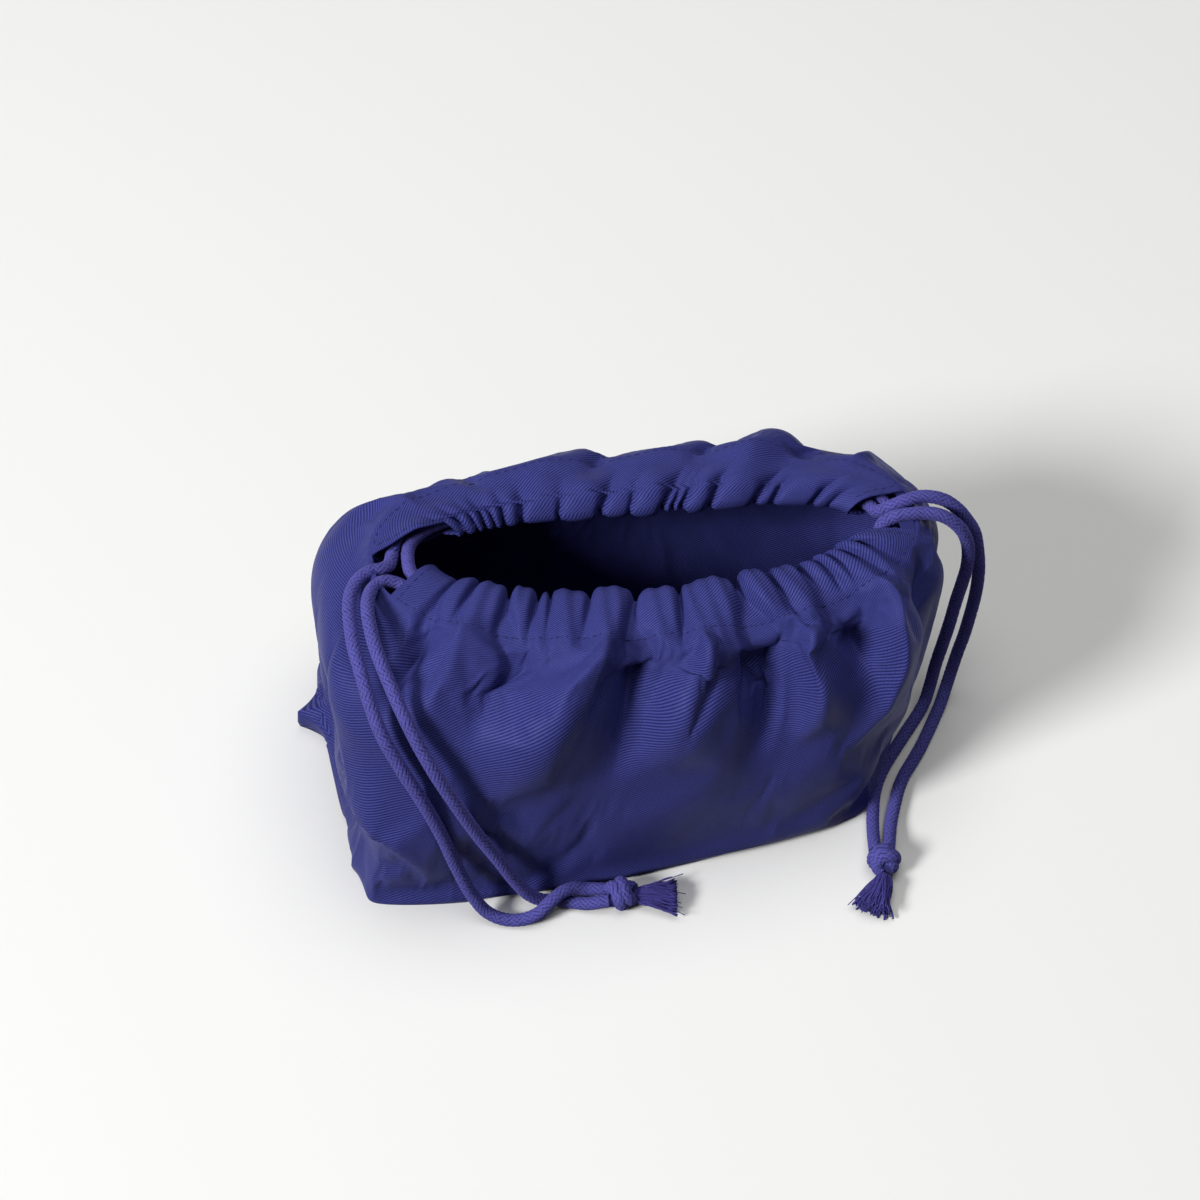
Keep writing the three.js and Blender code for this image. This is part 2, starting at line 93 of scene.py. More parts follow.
camera_data = bpy.data.cameras.new("camera")
camera_data.angle = 2 * math.atan(HALF_FRAME / FOCAL_LENGTH)
camera = bpy.data.objects.new("camera", camera_data)
aim(camera, CAMERA_PLACE, CAMERA_TARGET)
scene.camera = camera
print("the camera sees %.1f degrees" % math.degrees(camera_data.angle))


# %% [markdown]
# ## Meshes
#
# Cloth and cord are soft, and their exact lie is what makes them look real. Extruding and sculpting by hand
# could give it, but here the lie is worked out, so a mesh comes from a grid of points: rows up the cloth, or
# rings along a cord. Every object stays at the origin, and its place is in its mesh.

# %% Directions and soft steps
def smoothstep(x, low, high):
    """Zero up to low, one from high, and a soft rise between them."""
    t = np.clip((np.asarray(x, float) - low) / (high - low), 0, 1)
    return t * t * (3 - 2 * t)


def unit(vectors):
    return vectors / np.maximum(np.linalg.norm(vectors, axis=-1, keepdims=True), 1e-9)


print("a quarter of the way up, a soft step has risen by %.2f" % smoothstep(0.25, 0, 1))


# %% Faces of grids and tubes
def grid_faces(rows, columns, keep=None, wrap=False):
    """Faces of a grid whose points are numbered row by row."""
    r, c = np.indices((rows - 1, columns if wrap else columns - 1))
    if keep is not None:
        r, c = r[keep], c[keep]
    low, high, after = r * columns, (r + 1) * columns, (c + 1) % columns
    return np.stack([low + c, low + after, high + after, high + c], -1).reshape(-1, 4).tolist()


def tube_faces(rows, columns, base=0, caps=(True, True)):
    """Faces of a tube whose points start at number base, with a cap on each end that has one."""
    faces = grid_faces(rows, columns, wrap=True)
    if caps[0]:
        faces.append(list(range(columns))[::-1])
    if caps[1]:
        faces.append([(rows - 1) * columns + i for i in range(columns)])
    return [[base + i for i in face] for face in faces]


print("a tube of 3 rings of 6 points has %d faces" % len(tube_faces(3, 6)))


# %% Pieces from points
def add_piece(mesh, material):
    """An object at the origin with the mesh's own name."""
    mesh.materials.append(material)
    piece = bpy.data.objects.new(mesh.name, mesh)
    scene.collection.objects.link(piece)
    return piece


def lay_flat(mesh, uv, lap):
    """Gives each corner its place on the flat cloth. A face that crosses the end of a lap stays whole."""
    layer = mesh.uv_layers.new(name="flat_cloth")
    corner = np.empty(len(mesh.loops), int)
    mesh.loops.foreach_get("vertex_index", corner)
    places = np.asarray(uv, float)[corner].reshape(-1, 4, 2)
    around = places[..., 0]
    around += lap * (around < around.max(axis=1, keepdims=True) - lap / 2)
    layer.data.foreach_set("uv", (places / MM).ravel())


def add_mesh(name, points, faces, material, uv=None, lap=None, relief=None):
    """A smooth-shaded piece from points in millimetres."""
    mesh = bpy.data.meshes.new(name)
    mesh.from_pydata((np.asarray(points) / MM).tolist(), [], faces)
    if uv is not None:
        lay_flat(mesh, uv, lap)
    if relief is not None:
        mesh.attributes.new("relief", "FLOAT", "POINT").data.foreach_set("value", np.ravel(relief))
    mesh.shade_smooth()
    return add_piece(mesh, material)


# %% [markdown]
# ## Materials
#
# Each colour is written as it is shown, and `linear` turns it into the light that the shader works with. One
# function adds every node. An input is a value, or the socket or node that feeds it, and a node stands for
# the first output that it uses.

# %% Colours
def linear(colour):
    shown = [int(colour[i : i + 2], 16) / 255 for i in (1, 3, 5)]
    return [c / 12.92 if c <= 0.04045 else ((c + 0.055) / 1.055) ** 2.4 for c in shown] + [1.0]


# Painted shade: the twill's grooves take the darker colour and its ridges the lit one. The same pair also
# makes the dye's uneven patches.
CLOTH_LIT, CLOTH_SHADE_AND_DARK_DYE = "#464a90", "#171848"
# Painted shade: the braid's gaps between yarns take the darker colour and the yarns' backs the lit one. The
# same pair also makes the darker and paler fibres.
CORD_LIT, CORD_SHADE_AND_DARK_FIBRE = "#5553a2", "#151440"
FLOOR, BACKDROP = "#f0f0ee", "#e9e9e8"
print("lit cloth is", [round(c, 3) for c in linear(CLOTH_LIT)[:3]])


# %% One function for every node
def add_node(tree, kind, inputs=(), **settings):
    """Adds a node, or takes one of the tree's own, with its settings and with inputs by place or by name."""
    node = kind if isinstance(kind, bpy.types.Node) else tree.nodes.new("ShaderNode" + kind)
    for setting, value in settings.items():
        setattr(node, setting, value)
    for key, value in inputs.items() if isinstance(inputs, dict) else enumerate(inputs):
        if isinstance(value, bpy.types.Node):
            value = next(output for output in value.outputs if output.enabled)
        if isinstance(value, bpy.types.NodeSocket):
            tree.links.new(value, node.inputs[key])
        else:
            node.inputs[key].default_value = value
    return node


def new_material(name):
    """A material, its nodes and its main shader."""
    material = bpy.data.materials.new(name)
    material.use_nodes = True
    return material, material.node_tree, material.node_tree.nodes["Principled BSDF"]


MIX_FROM, MIX_TO = 6, 7  # the inputs of a Mix node that hold its two colours
print("a Mix node takes its two colours in inputs %d and %d" % (MIX_FROM, MIX_TO))


# %% [markdown]
# ### Indigo twill
#
# The cloth is cotton twill, woven and then dyed. Its warp yarns float over the weft in steps, which gives
# raised lines about 1 mm apart that slant over the flat cloth. The eye sees a fine rib with a soft, dry gloss
# on its ridges, and its grooves are drawn darker as painted shade. A picture of cloth could give that, but a
# pattern of waves on the piece's own flat places stays sharp at every size. Each line is broken up into floats
# about 1 mm long, as the yarns are.

# %% Twill weave
TWILL_SLANT = 20  # degrees from level, on the flat cloth
LINE_GAP = 0.00095  # 0.95 mm between lines
FLOAT_LENGTH = 0.0011  # 1.1 mm, and the next line starts about a third of a float further on
FLOAT_SHIFT = 0.37
WANDER_SCALE, WANDER = 30.0, 0.0009  # lines drift by up to 0.9 mm, over about 33 mm
FUZZ_SCALE = 1400.0  # fibres of 0.02 mm are too fine to show, so they are drawn 0.7 mm wide
CLOUD_SCALE = 22.0  # the dye took unevenly in patches of about 45 mm


def twill_weave(tree):
    """The line of the twill, from 0 in a groove to 1 on a ridge, and the height of the whole weave."""
    place = add_node(tree, "UVMap", uv_map="flat_cloth")
    wander = add_node(tree, "TexNoise", {"Vector": place, "Scale": WANDER_SCALE, "Detail": 3.0})
    turned = add_node(tree, "Mapping", {"Vector": place, "Rotation": (0, 0, -math.radians(TWILL_SLANT))})
    split = add_node(tree, "SeparateXYZ", [turned])
    along = split.outputs["X"]
    over = add_node(tree, "Math", [wander, WANDER, split.outputs["Y"]], operation="MULTIPLY_ADD")
    phase = add_node(tree, "Math", [over, 2 * math.pi / LINE_GAP], operation="MULTIPLY")
    wave = add_node(tree, "Math", [phase], operation="SINE")
    line = add_node(tree, "Math", [wave, 0.5, 0.5], operation="MULTIPLY_ADD")
    lines = add_node(tree, "Math", [over, LINE_GAP], operation="DIVIDE")
    row = add_node(tree, "Math", [lines], operation="FLOOR")
    floats = add_node(tree, "Math", [along, FLOAT_LENGTH], operation="DIVIDE")
    step = add_node(tree, "Math", [row, FLOAT_SHIFT, floats], operation="MULTIPLY_ADD")
    turn = add_node(tree, "Math", [step, 2 * math.pi], operation="MULTIPLY")
    swell = add_node(tree, "Math", [turn], operation="SINE")
    broken = add_node(tree, "Math", [swell, 0.1, 0.9], operation="MULTIPLY_ADD")
    ridges = add_node(tree, "Math", [line, broken], operation="MULTIPLY")
    slower = add_node(tree, "Math", [along, 0.35], operation="MULTIPLY")
    stretched = add_node(tree, "CombineXYZ", [slower, over])
    fuzz = add_node(tree, "TexNoise", {"Vector": stretched, "Scale": FUZZ_SCALE, "Detail": 2.0})
    return line, add_node(tree, "Math", [fuzz, 0.35, ridges], operation="MULTIPLY_ADD")


print("twill lines %.2f mm apart, with floats %.1f mm long" % (LINE_GAP * MM, FLOAT_LENGTH * MM))


# %% Twill
def make_twill(name):
    material, tree, shader = new_material(name)
    line, height = twill_weave(tree)
    place = add_node(tree, "UVMap", uv_map="flat_cloth")
    cloudy = add_node(tree, "TexNoise", {"Vector": place, "Scale": CLOUD_SCALE, "Detail": 4.0})
    # Painted shade in the twill's grooves: the weave's height darkens the colour from ridge to groove.
    painted_groove_shade = add_node(tree, "Math", [height, 0.62], operation="MULTIPLY")
    shade = add_node(tree, "Math", [cloudy, 0.25, painted_groove_shade], operation="MULTIPLY_ADD")
    fade = add_node(tree, "MapRange", {"Value": shade, "From Min": 0.15, "From Max": 0.85})
    colours = {0: fade, MIX_FROM: linear(CLOTH_SHADE_AND_DARK_DYE), MIX_TO: linear(CLOTH_LIT)}
    add_node(tree, shader, {
        "Base Color": add_node(tree, "Mix", colours, data_type="RGBA"),
        # Ridges are rubbed a little smoother than grooves.
        "Roughness": add_node(tree, "Math", [line, -0.1, 0.52], operation="MULTIPLY_ADD"),
        "Normal": add_node(tree, "Bump", {"Height": height, "Strength": 0.26, "Distance": 0.00016}),
        # Cotton's IOR is near 1.5, the shader's own value. Its fibres scatter light, so little is mirrored,
        # and what is mirrored takes the blue of the dye.
        "Specular IOR Level": 0.1, "Specular Tint": linear("#aab0f0"),
        "Sheen Weight": 0.02, "Sheen Roughness": 0.45, "Sheen Tint": linear("#8f8fe0"),
    })
    return material


twill = make_twill("indigo_twill")
print("%s: %d nodes" % (twill.name, len(twill.node_tree.nodes)))


# %% [markdown]
# ### Cotton yarn
#
# The cords, their frayed ends and the thread are spun cotton: matt, and furry at the scale of the fibres.
# The braid's yarns are in its mesh, and the mesh hands their relief to the material as an attribute, which
# darkens the colour as painted shade in the grooves between the yarns.

# %% Yarn
def make_yarn(name, lit, deep, scale, woven=False):
    """Cotton yarn. Its fibres are noise with so many lumps to a metre, and its tone has a twelfth as many."""
    material, tree, shader = new_material(name)
    place = add_node(tree, "TexCoord").outputs["Object"]
    fibre = add_node(tree, "TexNoise", {"Vector": place, "Scale": scale, "Detail": 4.0, "Roughness": 0.6})
    tone = add_node(tree, "TexNoise", {"Vector": place, "Scale": scale / 12, "Detail": 2.0})
    drift = add_node(tree, "Math", [tone, 0.3], operation="MULTIPLY")
    shade = add_node(tree, "Math", [fibre, 0.7, drift], operation="MULTIPLY_ADD")
    if woven:
        # Painted shade: where the braid's relief sinks between its yarns, the colour darkens.
        relief = add_node(tree, "Attribute", attribute_name="relief").outputs["Fac"]
        half = add_node(tree, "Math", [shade, 0.5], operation="MULTIPLY")
        shade = add_node(tree, "Math", [relief, 0.5, half], operation="MULTIPLY_ADD")
    fade = add_node(tree, "MapRange", {"Value": shade, "From Min": 0.3, "From Max": 0.7})
    colours = {0: fade, MIX_FROM: linear(deep), MIX_TO: linear(lit)}
    add_node(tree, shader, {
        "Base Color": add_node(tree, "Mix", colours, data_type="RGBA"),
        "Normal": add_node(tree, "Bump", {"Height": fibre, "Strength": 0.5, "Distance": 0.0002}),
        "Roughness": 0.85, "Specular IOR Level": 0.2,
        # Loose fibre ends catch the light at a low angle.
        "Sheen Weight": 0.3, "Sheen Tint": linear("#8f88d8"),
    })
    return material


# Fibres of 0.02 mm are too fine to show, so they are drawn 0.3, 0.45 and 0.2 mm wide.
braid = make_yarn("braided_cotton", CORD_LIT, CORD_SHADE_AND_DARK_FIBRE, 3200.0, woven=True)
fringe = make_yarn("frayed_cotton", "#4a4596", "#252158", 2200.0)
thread = make_yarn("sewing_thread", "#33387c", "#1b1a48", 5000.0)
for yarn in (braid, fringe, thread):
    print("%s: %d nodes" % (yarn.name, len(yarn.node_tree.nodes)))


# %% [markdown]
# ## Cords
#
# Each drawcord is a round braid of cotton, 4.5 mm thick. A curve with a round bevel would give a smooth rope.
# The yarns of a braid show at its edges too, so here each cord is a tube of rings along a smooth path, and
# the braid is added to the radius.

# %% A smooth path through points
SPAN_STEPS = 24


def smooth_path(points, step):
    """A curve through the points that never swings wide of them, as points one step apart, and their runs."""
    points = np.asarray(points, float)
    ends = [2 * points[0] - points[1], 2 * points[-1] - points[-2]]
    p = np.vstack([ends[0], points, ends[1]])
    out = []
    for p0, p1, p2, p3 in zip(p, p[1:], p[2:], p[3:]):
        a, b, c = (np.linalg.norm(q - r) ** 0.5 for q, r in ((p1, p0), (p2, p1), (p3, p2)))
        m1 = p2 - p1 + b * ((p1 - p0) / a - (p2 - p0) / (a + b))
        m2 = p2 - p1 + b * ((p3 - p2) / c - (p3 - p1) / (b + c))
        t = (np.arange(SPAN_STEPS) / SPAN_STEPS)[:, None]
        out.append((2 * (p1 - p2) + m1 + m2) * t**3 + (3 * (p2 - p1) - 2 * m1 - m2) * t**2 + m1 * t + p1)
    path = np.vstack([*out, p[-2][None]])
    run = np.r_[0, np.cumsum(np.linalg.norm(np.diff(path, axis=0), axis=1))]
    even = np.linspace(0, run[-1], max(int(run[-1] / step), 2) + 1)
    return np.stack([np.interp(even, run, path[:, i]) for i in range(3)], -1), even


print("round a corner of 30 by 30 mm: %.1f mm" % smooth_path([(0, 0, 0), (30, 0, 0), (30, 30, 0)], 1)[1][-1])


# %% Tubes
def frames_along(path):
    """Two directions across a path at each point, carried along it without twisting."""
    forward = unit(np.gradient(path, axis=0))
    side = unit(np.cross(forward[0], [0.1, 0.2, 1.0]))  # no path starts in this direction
    sides = []
    for f in forward:
        side = unit(side - f * side.dot(f))
        sides.append(side)
    sides = np.array(sides)
    return sides, np.cross(forward, sides)


def tube(path, radius, sides, relief=0.0):
    """Points round a path. The relief is added to the radius, for each point along and each angle."""
    across, above = frames_along(path)
    angle = 2 * np.pi * np.arange(sides) / sides
    reach = (np.reshape(radius, (-1, 1)) + relief)[..., None]
    ring = across[:, None] * np.cos(angle)[None, :, None] + above[:, None] * np.sin(angle)[None, :, None]
    return path[:, None] + ring * reach


print("rings and points of a short tube:", tube(smooth_path([(0, 0, 0), (0, 9, 0)], 3)[0], 2, 6).shape[:2])


# %% [markdown]
# ### The braid
#
# Half of a braid's yarns climb to the left and half to the right, and each goes over and under the others.
# At every point of the tube one of the two lies on top, and its rounded back is the relief.

# %% Braids
CORD = 4.5
YARNS = 8  # each way
BRAID_PITCH = 15.0  # along the cord for one turn of a yarn
BRAID_DEPTH = 0.42
BRAID_STEP, BRAID_SIDES = 0.42, 40


def braid_relief(run, sides):
    """How far each point of a braided tube stands out, in millimetres and as a share."""
    angle = 2 * np.pi * np.arange(sides) / sides
    turns = angle[None] / (2 * np.pi) * YARNS
    climb = run[:, None] / BRAID_PITCH * YARNS
    one, two = turns + climb, turns - climb
    over = np.cos(np.pi * (np.floor(one) + np.floor(two))) > 0
    back = np.abs(np.sin(np.pi * np.where(over, one, two))) ** 0.7
    return BRAID_DEPTH * (back - 0.75), back


def braided(name, points, step=BRAID_STEP, sides=BRAID_SIDES):
    path, run = smooth_path(points, step)
    lift, relief = braid_relief(run, sides)
    rings = tube(path, CORD / 2, sides, lift)
    faces = tube_faces(*rings.shape[:2])
    print("%s: %.0f mm, %d faces" % (name, run[-1], len(faces)))
    return add_mesh(name, rings.reshape(-1, 3), faces, braid, relief=relief), path


# %% [markdown]
# ### Free strands
#
# Each strand leaves its slot in the casing, drops over the shoulder, lies out on the floor and ends in the
# knot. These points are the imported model's own route, so the solid and the braid lie in the same place. Each
# strand then runs on into its knot, so that no gap shows.

# %% Free strands
INTO_KNOT, DIP_INTO_KNOT = 2.6, np.array([0, 0, -0.3])
ROUTES = {
    "left_strand_front": [
        (-69.3, 1.1, 95.3), (-70.9, 2.7, 95.5), (-74.8, 7.4, 96.2), (-79.7, 8, 98), (-83.6, 5.1, 98.9),
        (-85.8, -0.5, 100.3), (-86.4, -7.3, 101.4), (-86, -14.5, 101.3), (-85, -21.9, 100.6),
        (-82.7, -30.7, 97.7), (-79.1, -40.9, 91.8), (-75, -48.7, 83.3), (-70.5, -54.7, 73.9),
        (-64.7, -58.8, 60.5), (-58.4, -61, 44.2), (-51.9, -62.7, 29.3), (-46.2, -64.1, 15.5),
        (-41.6, -64.9, 7), (-37, -65, 3), (-32, -65.3, 2.35), (-26.5, -67.1, 2.35), (-21.4, -68.7, 3),
        (-16.8, -69.4, 4.6),
    ],
    "left_strand_back": [
        (-76.2, 21.6, 96), (-76.7, 19.3, 95.9), (-77.8, 15.7, 96.6), (-80.4, 13.7, 97.7),
        (-83.8, 12.7, 98.4), (-88, 9.7, 98.9), (-91.1, 4.5, 98.8), (-92.4, -2.5, 98.9),
        (-92.5, -10.1, 99.5), (-92.2, -18.1, 99.1), (-90.9, -26.7, 97.4), (-89, -36.6, 92),
        (-86.3, -44.5, 84.8), (-81.3, -51.3, 73.9), (-75.7, -56.3, 61.5), (-70.4, -59.7, 44.9),
        (-65.9, -62.7, 26.4), (-61.6, -65.5, 12.5), (-57.2, -68.1, 4.9), (-51.8, -70.3, 2.4),
        (-45.6, -71.7, 2.9), (-39.8, -71.5, 5.2), (-35.2, -69.1, 7.6), (-30.8, -66.1, 8.2),
        (-26.2, -64, 6.8), (-21.6, -63.7, 4.9), (-16.6, -64.3, 4.6),
    ],
    "right_strand_front": [
        (87.4, 3.65, 95.4), (88.9, 5.6, 95.4), (90.4, 9, 98.2), (95, 9.7, 100.8), (99.9, 9.9, 101.1),
        (104.6, 10.1, 100.7), (109.1, 9.5, 100.1), (113.5, 8.6, 97.9), (117.2, 7.7, 94.2),
        (120.2, 7.3, 88.6), (122, 7.1, 81.6), (122.5, 6.7, 73), (121.8, 6.6, 64), (120.8, 6.5, 54.5),
        (119.3, 5.3, 42), (117.7, 4.5, 30), (116.4, 4.1, 19.5), (115.1, 2.5, 10.2), (112.9, -0.9, 4.3),
        (109.6, -4.9, 2.4), (105.8, -9.5, 2.35), (101, -15.3, 2.35), (96, -21.5, 2.35),
        (91.8, -27.1, 2.35), (88.4, -32.9, 2.35), (86.2, -38.1, 2.35), (84.7, -43.3, 2.35),
        (83.5, -48.5, 2.35), (82.5, -54.1, 2.9), (81.6, -59.9, 4.4),
    ],
    "right_strand_back": [
        (87.3, 21.7, 95.8), (88.8, 20, 95.6), (90.5, 16.2, 96.6), (94.4, 14.7, 100.5),
        (99.7, 15.4, 101.8), (104.7, 16.4, 101.8), (109.3, 16.4, 101), (113.9, 15.9, 99),
        (118.2, 14.9, 95.3), (122, 13.8, 90), (125.2, 12.8, 84), (127.3, 11.9, 75), (128.8, 11.5, 65),
        (129.4, 11.5, 56), (129.4, 11.5, 47), (128.6, 10.8, 38), (127.4, 9.9, 28), (125.6, 8.7, 18.5),
        (123.6, 6.3, 10.5), (121.3, 2.7, 5.2), (118.4, -2.3, 2.6), (114.8, -8.1, 2.35),
        (111.2, -13.8, 2.35), (107.4, -19.5, 2.35), (103.2, -25.1, 2.35), (99, -30.5, 2.35),
        (96, -35.5, 2.35), (93.6, -40.7, 2.35), (91.4, -45.9, 2.35), (89.6, -50.7, 2.4),
        (88.2, -55.3, 3.1), (86.8, -60.1, 4.4),
    ],
}
strands, strand_paths = {}, {}
for name, route in ROUTES.items():
    route = np.array(route)
    heading = unit(route[-1] - route[-2])
    route = np.vstack([route, route[-1] + heading * INTO_KNOT + DIP_INTO_KNOT])
    strands[name], strand_paths[name] = braided(name.replace("strand", "braid"), route)


# %% [markdown]
# ### Knots
#
# Both strands of a cord are tied in one overhand knot. Pulled tight, it shows two turns of braid that wind
# round each other and leave at the far side. So a knot is two braided tubes on a fat spiral, half a turn
# apart, with their ends tucked in.

# %% Knots
KNOT_DIAMETER, KNOT_LENGTH = 11.2, 11.8
KNOT_TURNS = 1.15
KNOT_SWELL = 1.14  # a yarn under pull spreads, so the braid is thicker here
CLEAR_OF_FLOOR = 0.05


def knot_points(start, forward, turn):
    """One strand's way through its knot."""
    aside = unit(np.cross([0, 0, 1.0], forward))
    above = np.cross(forward, aside)
    t = np.linspace(0, 1, 15)
    angle = turn + 2 * np.pi * KNOT_TURNS * t
    reach = (KNOT_DIAMETER / 2 - CORD / 2 + 0.15) * np.sin(np.pi * np.clip(t, 0.03, 0.97)) ** 0.35
    along = KNOT_LENGTH * (0.1 + 0.8 * t) + 0.9 * np.sin(2 * np.pi * t)
    points = start + forward * along[:, None] + aside * (reach * np.cos(angle))[:, None]
    return points + above * (reach * np.sin(angle))[:, None]


def knot(name, start, towards):
    start = np.array(start, float)
    forward = unit(np.array(towards, float) - start)
    points, faces, reliefs = np.empty((0, 3)), [], []
    for turn in (0, np.pi):
        path, run = smooth_path(knot_points(start, forward, turn), 0.4)
        swell = 1 - 0.25 * np.abs(2 * run / run[-1] - 1) ** 4
        lift, relief = braid_relief(run, BRAID_SIDES)
        rings = tube(path, CORD / 2 * KNOT_SWELL * swell, BRAID_SIDES, lift)
        faces += tube_faces(*rings.shape[:2], base=len(points))
        points = np.vstack([points, rings.reshape(-1, 3)])
        reliefs.append(relief.ravel())
    points[:, 2] = np.maximum(points[:, 2], CLEAR_OF_FLOOR)
    print("%s: %d faces" % (name, len(faces)))
    return add_mesh(name, points, faces, braid, relief=np.concatenate(reliefs))


left_knot = knot("left_knot_wound", (-15.9, -67.0, 5.3), (-4.3, -68.0, 5.3))
right_knot = knot("right_knot_wound", (84.25, -60.8, 5.3), (82.8, -72.0, 5.3))


# %% [markdown]
# ### Frayed ends
#
# Beyond the knot the braid has come undone into loose yarns. Hair would give them too, but it isn't a mesh
# and no export keeps it. So each yarn is a thin tube of few faces that leaves the knot, spreads, droops and
# curls a little by chance. A few thinner ones stray.

# %% Frayed ends
TASSEL_LENGTH, TASSEL_WIDTH, TASSEL_HEIGHT = 15.0, 11.5, 7.6
TASSEL_YARNS, YARN_SIDES, YARN_POINTS = 300, 5, 12
STRAY_THICKNESS = 0.16


def loose_yarn(start, forward, stray):
    """One yarn's path and its radius. The order of its draws is what makes each run the same."""
    aside, above = unit(np.cross([0, 0, 1.0], forward)), np.array([0, 0, 1.0])
    angle, out = chance.uniform(0, 2 * np.pi), chance.uniform(0, 1) ** 0.5
    across, up = out * np.cos(angle), out * np.sin(angle)
    t = np.linspace(0, 1, YARN_POINTS)
    reach = TASSEL_LENGTH * (chance.uniform(1.0, 1.2) if stray else chance.uniform(0.84, 1.0))
    spread = 2.0 + (TASSEL_WIDTH / 2 - 2.0) * t**0.8 * (chance.uniform(1.3, 1.9) if stray else 1)
    lift = 1.8 + (TASSEL_HEIGHT / 2 - 1.8) * np.sin(np.pi * np.clip(t, 0, 0.75))
    wave = chance.normal(0, 0.5, 2)[None] * np.sin(t[:, None] * chance.uniform(3, 8) + chance.uniform(0, 6))
    curl = (t**2)[:, None] * chance.normal(0, 2.2 if stray else 1.1, 2)[None]
    sideways = across * spread + wave[:, 0] + curl[:, 0]
    upwards = up * lift + 0.5 * wave[:, 1] + 0.5 * curl[:, 1] * (0.9 if stray else 0.6)
    droop = -0.5 * t**2
    path = start + forward * (reach * t)[:, None] + aside * sideways[:, None]
    path = path + above * (upwards + droop)[:, None]
    thickness = STRAY_THICKNESS if stray else chance.uniform(0.26, 0.4)
    path[:, 2] = np.maximum(path[:, 2], thickness + CLEAR_OF_FLOOR)
    return path, thickness


def tassel(name, start, towards, strays):
    start = np.array(start, float)
    forward = unit(np.array(towards, float) - start)
    rings, faces = [], []
    for i in range(TASSEL_YARNS + strays):
        path, thickness = loose_yarn(start, forward, i >= TASSEL_YARNS)
        rings.append(tube(path, np.full(YARN_POINTS, thickness), YARN_SIDES).reshape(-1, 3))
        faces += tube_faces(YARN_POINTS, YARN_SIDES, i * YARN_POINTS * YARN_SIDES, caps=(False, True))
    print("%s: %d yarns, %d faces" % (name, len(rings), len(faces)))
    return add_mesh(name, np.vstack(rings), faces, fringe)


left_tassel = tassel("left_frayed_end", (-5.4, -68.0, 4.0), (11, -70.2, 3.6), 5)
right_tassel = tassel("right_frayed_end", (82.9, -72.6, 4.0), (75.6, -84.5, 3.6), 6)


# %% [markdown]
# ## The cloth without its folds
#
# A sewn bag has no simple form: its floor is a rounded box, its walls sag, and its mouth is a drawn oval. It
# could be sculpted, but then the folds, the stitches and the inside would each have to find the cloth again.
# So closed rings round the pouch give its form at thirteen heights, and the cloth is one smooth surface
# through them. Every point on it has a share round and a share up.

# %% Rings
LENGTH, DEPTH, SHOULDER, RIM = 236.0, 126.0, 93.0, 96.0
CENTRE = np.array([1.4, 2.5])
STITCHING, CREST = 0.84, 0.92  # shares up of the casing's seam and of its highest line
CASING_THICKNESS = 9.9


def superellipse(left, right, steps=360):
    """A closed outline from -1 to 1 each way. Its squareness goes from the left value to the right one."""
    turn = np.pi * (1 + np.arange(2 * steps + 1) / steps)
    power = 2 / (left + (right - left) * (1 + np.cos(turn)) / 2)
    across, along = np.cos(turn), np.sin(turn)
    return np.sign(across) * np.abs(across) ** power, np.sign(along) * np.abs(along) ** power


def even_ring(outline):
    """A ring by the share of the way round, even along the front and along the back."""
    half = len(outline) // 2
    runs = []
    for points in (outline[: half + 1], outline[half:]):
        run = np.r_[0, np.cumsum(np.linalg.norm(np.diff(points, axis=0), axis=1))]
        runs.append((run / run[-1], points))

    def at(share):
        share = np.asarray(share, float) % 1.0
        front = share < 0.5
        fraction = np.where(front, 2 * share, 2 * share - 1)
        on_front, on_back = (
            np.stack([np.interp(fraction, run, points[:, i]) for i in range(3)], -1) for run, points in runs)
        return np.where(front[..., None], on_front, on_back)

    return at


print("each ring starts from an outline of %d points" % len(superellipse(2, 2)[0]))


# %% Rings of the walls
def wall_ring(level, insets, squareness, bow):
    """A rounded box with its four corners set in, and its front bowed out."""
    across, along = superellipse(*squareness)
    corners = [np.array([sx * (LENGTH / 2 - ix), sy * (DEPTH / 2 - iy)])
               for (sx, sy), (ix, iy) in zip(((-1, -1), (1, -1), (1, 1), (-1, 1)), insets)]
    a, b = ((1 + across) / 2)[:, None], ((1 + along) / 2)[:, None]
    front, back = corners[0] * (1 - a) + corners[1] * a, corners[3] * (1 - a) + corners[2] * a
    plan = front * (1 - b) + back * b
    plan[:, 1] -= bow * (1 - across**2) * (1 - 0.6 * across) * (1 - along) / 2
    return even_ring(np.c_[plan + CENTRE, np.full(len(plan), level * SHOULDER)])


print("the middle of the front at the floor:", wall_ring(0, ((19, 4),) * 4, (40, 2), 8)(0.25).round(1))


# %% Rings of the mouth
MOUTH_HALVES, MOUTH_CENTRE, MOUTH_TURN = (74, 19.5), (9.4, 15), math.radians(-2)
MOUTH_SQUARENESS, MOUTH_BOW, MOUTH_RISE = 2.4, 5, 3.5


def mouth_ring(outwards, height, rise):
    """The drawn oval of the mouth, pushed outwards and lifted towards the back."""
    across, along = superellipse(MOUTH_SQUARENESS, MOUTH_SQUARENESS)
    x = (MOUTH_HALVES[0] + outwards) * across
    y = (MOUTH_HALVES[1] + outwards) * along - MOUTH_BOW * (1 - across**2)
    plan_x = MOUTH_CENTRE[0] + x * math.cos(MOUTH_TURN) - y * math.sin(MOUTH_TURN)
    plan_y = MOUTH_CENTRE[1] + x * math.sin(MOUTH_TURN) + y * math.cos(MOUTH_TURN)
    return even_ring(np.c_[plan_x, plan_y, height + rise * MOUTH_RISE * (1 + along) / 2])


